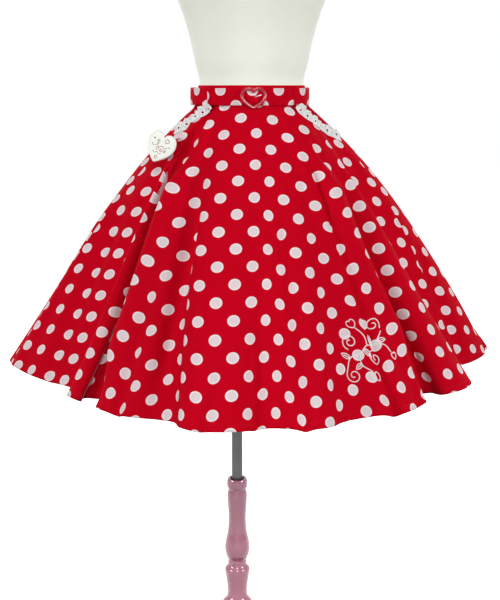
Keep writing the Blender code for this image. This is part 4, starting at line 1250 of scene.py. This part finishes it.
def sprig_lines():
    """A sprig with curls, leaves and three hearts, 12 cm across, in metres from its middle."""
    stem = ((-0.056, -0.026), (-0.036, -0.006), (-0.014, -0.006), (0.008, 0.006), (0.030, 0.004),
            (0.052, 0.018))
    curls = (
        ((-0.047, -0.038), 0.0150, 1.4, 130, 1),
        ((-0.020, 0.022), 0.0160, 1.5, 230, -1),
        ((0.014, -0.020), 0.0160, 1.5, 70, 1),
        ((0.046, 0.036), 0.0140, 1.4, -60, 1),
    )
    stalks = (
        ((-0.014, -0.006), (-0.022, -0.026), (-0.010, -0.044)),
        ((0.008, 0.006), (0.012, 0.024), (0.004, 0.042)),
        ((0.030, 0.004), (0.044, -0.008), (0.050, -0.026)),
    )
    leaves = (
        ((-0.036, -0.006), 0.020, 0.009, 125),
        ((-0.002, 0.001), 0.019, 0.009, -75),
        ((0.020, 0.006), 0.020, 0.009, 62),
        ((0.036, 0.006), 0.018, 0.008, -20),
        ((-0.021, -0.024), 0.017, 0.008, 200),
    )
    hearts = (
        ((-0.007, -0.054), 0.017, 12),
        ((0.001, 0.051), 0.017, 8),
        ((0.053, -0.036), 0.014, -14),
    )
    lines = [open_curve(stem)] + [curl(*given) for given in curls]
    lines += [open_curve(stalk) for stalk in stalks]
    for given in leaves:
        lines += leaf(*given)
    return lines + [small_heart(middle, size, math.radians(angle)) for middle, size, angle in hearts]


def make_embroidery():
    """The sprig's drawing laid on the front panel, in thread."""
    outward = np.array([math.sin(SPRIG_TURN), math.cos(SPRIG_TURN)])
    right = crosswise(outward)
    laid = []
    for line in sprig_lines():
        x, y = (line @ turned_by(SPRIG_TILT)).T[..., None]
        flat = outward * (SEAM_RADIUS + SPRIG_SLANT) + x * right - y * outward
        turn = np.arctan2(*flat.T)
        slant = np.linalg.norm(flat, axis=-1) - SEAM_RADIUS
        laid.append(cloth_points(turn, slant, SPRIG_THREAD * 0.35 - crease_depth(turn, slant)))
    wear(tube("embroidered_sprig", laid, SPRIG_THREAD, WHITE_THREAD), "dotted_cotton")


def make_hem_stitches(name, turn_a, turn_b):
    """A row of single stitches that holds the hem up, each with its ends sunk in the cloth."""
    slant = LENGTH - HEM_STITCHES
    radius = SEAM_RADIUS + slant
    count = int((turn_b - turn_a) * radius / STITCH_STEP)
    reach = STITCH / 2 / radius
    lines = []
    for middle in turn_a + (np.arange(count) + 0.5) * (turn_b - turn_a) / count:
        turn = middle + np.array([-reach, 0.0, reach])
        out = np.array([-0.0005, -0.0001, -0.0005]) - crease_depth(turn, slant)
        lines.append(cloth_points(turn, slant, out))
    wear(tube("hem_stitches_" + name, lines, STITCH_THREAD, RED_THREAD, 0), "dotted_cotton")


# Brooch


def on_face(line):
    """Flat places of the brooch's drawing on its sunk face."""
    return np.insert(line, 1, -BROOCH_THICK * BROOCH_FACE, axis=1)


def ornament_lines():
    """Two waving garlands, scrolls and small hearts, in metres from the brooch's middle."""
    garlands = (
        ((-0.020, 0.004), (-0.014, 0.000), (-0.008, 0.004), (-0.002, 0.000), (0.004, 0.004),
         (0.010, 0.001), (0.016, 0.005)),
        ((-0.012, -0.009), (-0.007, -0.012), (-0.002, -0.009), (0.003, -0.012), (0.008, -0.009)),
    )
    scrolls = (
        ((-0.0085, 0.0115), 0.0040, 1.3, 250, 1),
        ((0.0120, -0.0040), 0.0035, 1.3, 80, -1),
    )
    hearts = (
        ((0.0100, 0.0155), 0.0085, -0.3),
        ((-0.0045, -0.0030), 0.0060, 0.2),
        ((0.0045, -0.0045), 0.0050, -0.2),
        ((0.0000, -0.0190), 0.0060, 0.0),
    )
    lines = [open_curve(garland) for garland in garlands] + [curl(*given) for given in scrolls]
    return lines + [small_heart(*given) for given in hearts]


def make_brooch():
    """A flat white heart with a rounded rim round its sunk face, its ornament, and near-black rings of
    painted shade where its pits are.
    """
    outline = heart_outline(BROOCH_HALF_WIDTH, BROOCH_HEIGHT, 8)
    # How much of the outline is kept, and how far through the thickness, from the back to the face
    levels = (
        (0.930, 0.00), (0.975, 0.06), (0.997, 0.20), (1.000, 0.40), (0.998, 0.66),
        (0.985, 0.88), (0.962, 0.99), (0.940, 1.00), (0.918, 0.93), (0.900, 0.82),
        (0.880, BROOCH_FACE), (0.700, BROOCH_FACE), (0.450, BROOCH_FACE), (0.200, BROOCH_FACE),
    )
    points = [
        np.insert(outline * keep, 1, -BROOCH_THICK * through, axis=1) for keep, through in levels
    ]
    quads = grid_quads(len(levels), len(outline), closed=True)
    heart = make_object("brooch_heart", points, quads, [WHITE], caps=end_caps(len(levels), len(outline)))
    ink = tube("brooch_ornament", [on_face(line) for line in ornament_lines()], INK_R, INK)
    # The pits are not cut: near-black rings of painted shade lie on the face there
    rings = [on_face(curl(place, size, 1.0, 0.0)) for place, size in BROOCH_PITS]
    pits = tube("brooch_pit_shade", rings, PIT_R, PIT_SHADE)
    turn = Euler((BROOCH_LEAN, BROOCH_TILT, BROOCH_TURN)).to_matrix().to_4x4()
    place = Vector((FORM_X + BROOCH_PLACE[0], BROOCH_PLACE[1], BAND_TOP_Z + BROOCH_PLACE[2]))
    for piece, nodes in ((heart, ["heart_brooch"]), (ink, []), (pits, [])):
        piece.data.transform(Matrix.Translation(place) @ turn)
        wear(piece, "white_plastic", *nodes)


# Dress form and stand


def smooth_rows(table, per_span):
    """Rows of a table with more rows between them, on smooth curves that don't overshoot."""
    rows = np.array(table, float)
    step = np.diff(rows[:, 0])[:, None]
    slope = np.diff(rows, axis=0) / step
    tangent = np.zeros_like(rows)
    tangent[0], tangent[-1] = slope[0], slope[-1]
    same = slope[1:] * slope[:-1] > 0
    mean = 2 * slope[1:] * slope[:-1] / np.where(same, slope[1:] + slope[:-1], 1.0)
    tangent[1:-1] = np.where(same, mean, 0.0)
    made = spans(per_span, rows[:-1], step * tangent[:-1], rows[1:], step * tangent[1:])
    return np.vstack([made, rows[-1:]])


def stacked(name, rows, material, sides, flip=False, around=0.0):
    """A closed shape of oval rings, each a middle's x and y, half width, half depth and height.

    Where around is given, it is laid out for a cloth, as if each ring had that radius.
    """
    turn = 2 * np.pi * np.arange(sides) / sides
    x, y, half_width, half_depth, z = np.array(rows)[..., None].transpose(1, 0, 2)
    z = np.broadcast_to(z, (len(rows), sides))
    points = np.stack([x + half_width * np.cos(turn), y + half_depth * np.sin(turn), z], axis=-1)
    uvs = {"cloth": np.stack(np.broadcast_arrays(turn * around, z), axis=-1)} if around else None
    quads = grid_quads(len(rows), sides, closed=True, flip=flip)
    caps = end_caps(len(rows), sides, flip)
    return make_object(name, points, quads, [material], uvs, caps=caps)


def make_form():
    rows = [
        (FORM_X, back, half_width, half_depth, BAND_TOP_Z + height)
        for height, half_width, half_depth, back in smooth_rows(FORM, 4)
    ]
    x, back, half_width, half_depth, top = rows[-1]
    # The neck's top is closed by rings drawn in to a small middle
    rows += [(x, back, half_width * keep, half_depth * keep, top) for keep in (0.9, 0.6, 0.25)]
    wear(stacked("form_cover", rows, COVER, 96, True, 0.14), "form_cover", "form")


def turned(name, profile, sides):
    """A turned wooden shape by its profile of (radius, height)."""
    return stacked(name, [(0.0, 0.0, radius, radius, z) for radius, z in profile], PINK, sides)


def make_stand():
    deep, top_r = POST[0]
    top = BAND_TOP_Z - deep
    profile = [
        (POLE_R + 0.0004, top - 0.008),
        (0.0148, top - 0.0075),
        (0.0160, top - 0.0008),
        (0.0168, top),
        (top_r - 0.0006, top),
    ]
    profile += [(radius, BAND_TOP_Z - deep) for deep, radius in smooth_rows(POST, 5)]
    wear(turned("post_turned", profile, 72), "pink_wood", "post")
    top = BAND_TOP_Z - POST[-1][0] - 0.0003
    base = [
        (0.001, top),
        (0.055, top),
        (0.066, top - 0.001),
        (0.075, top - 0.003),
        (0.138, top - 0.006),
        (0.1435, top - 0.0068),
        (0.147, top - 0.009),
        (0.1492, top - 0.0115),
        (BASE_R, top - 0.0145),
        (BASE_R, 0.0015),
        (0.1488, 0.0),
        (0.001, 0.0),
    ]
    wear(turned("base_turned", base, 120), "pink_wood", "base")


def dress_nodes(material, *names):
    """Nodes that are shown as they are, in a material of this script."""
    for name in names:
        for slot in bpy.data.objects[name].material_slots:
            slot.material = material


# The studio


def make_floor():
    """A pale floor and surroundings for the eye, which don't light the object themselves."""
    floor = Nodes("studio_floor", (0.92, 0.92, 0.92), 0.7)
    colour = floor.mix(floor.noise(floor.place(), 3.0), (0.90, 0.90, 0.90), (0.93, 0.93, 0.93))
    floor.set(Base_Color=colour, Emission_Color=(1.0, 1.0, 1.0), Emission_Strength=0.90)
    points = [(x * FLOOR_HALF, y * FLOOR_HALF, 0.0) for x, y in ((-1, -1), (1, -1), (1, 1), (-1, 1))]
    plane = make_object("studio_floor", points, [(0, 1, 2, 3)], [floor.material], smooth=False)
    plane.visible_diffuse = False
    world = bpy.data.worlds.new("studio")
    bpy.context.scene.world = world
    world.use_nodes = True
    background = world.node_tree.nodes["Background"]
    background.inputs[0].default_value = (1.0, 1.0, 1.0, 1.0)
    background.inputs[1].default_value = 1.0
    world.cycles_visibility.diffuse = False


def make_lamp(name, place, size, power):
    """A square lamp aimed at the skirt's middle, which the camera doesn't see."""
    lamp = bpy.data.lights.new(name, "AREA")
    lamp.size = size
    lamp.energy = power
    obj = add_object(name, lamp)
    obj.location = place
    aim = Vector(LAMP_AIM) - Vector(place)
    obj.rotation_euler = aim.to_track_quat("-Z", "Y").to_euler()
    obj.visible_camera = False


def make_camera():
    view = bpy.data.cameras.new("camera")
    view.lens = CAMERA_LENS
    view.sensor_width = CAMERA_SENSOR
    camera = add_object("camera", view)
    camera.location = CAMERA_PLACE
    camera.rotation_euler = (math.radians(90.0 - CAMERA_DOWN), 0.0, 0.0)
    bpy.context.scene.camera = camera
    bpy.context.scene.view_settings.view_transform = "Standard"


make_waistband()
make_form()
for panel in PANELS:
    make_panel(*panel)
for panel in PANELS:
    make_hem(*panel[:5])
for side, name in enumerate(("left", "right")):
    make_pocket_back("pocket_back_" + name, side)
for side, name in enumerate(("left", "right")):
    make_lace("pocket_lace_" + name, side)
make_belt()
for number, azimuth in enumerate(LOOP_AZIMUTHS, start=1):
    make_loop(number, azimuth)
make_buckle()
make_brooch()
make_embroidery()
for panel in PANELS:
    make_hem_stitches(*panel[:3])
make_stand()
dress_nodes(GREY, "pole")
dress_nodes(METAL, "buckle_prong", "belt_eyelet", "brooch_peg")
make_floor()
for lamp in LAMPS:
    make_lamp(*lamp)
make_camera()
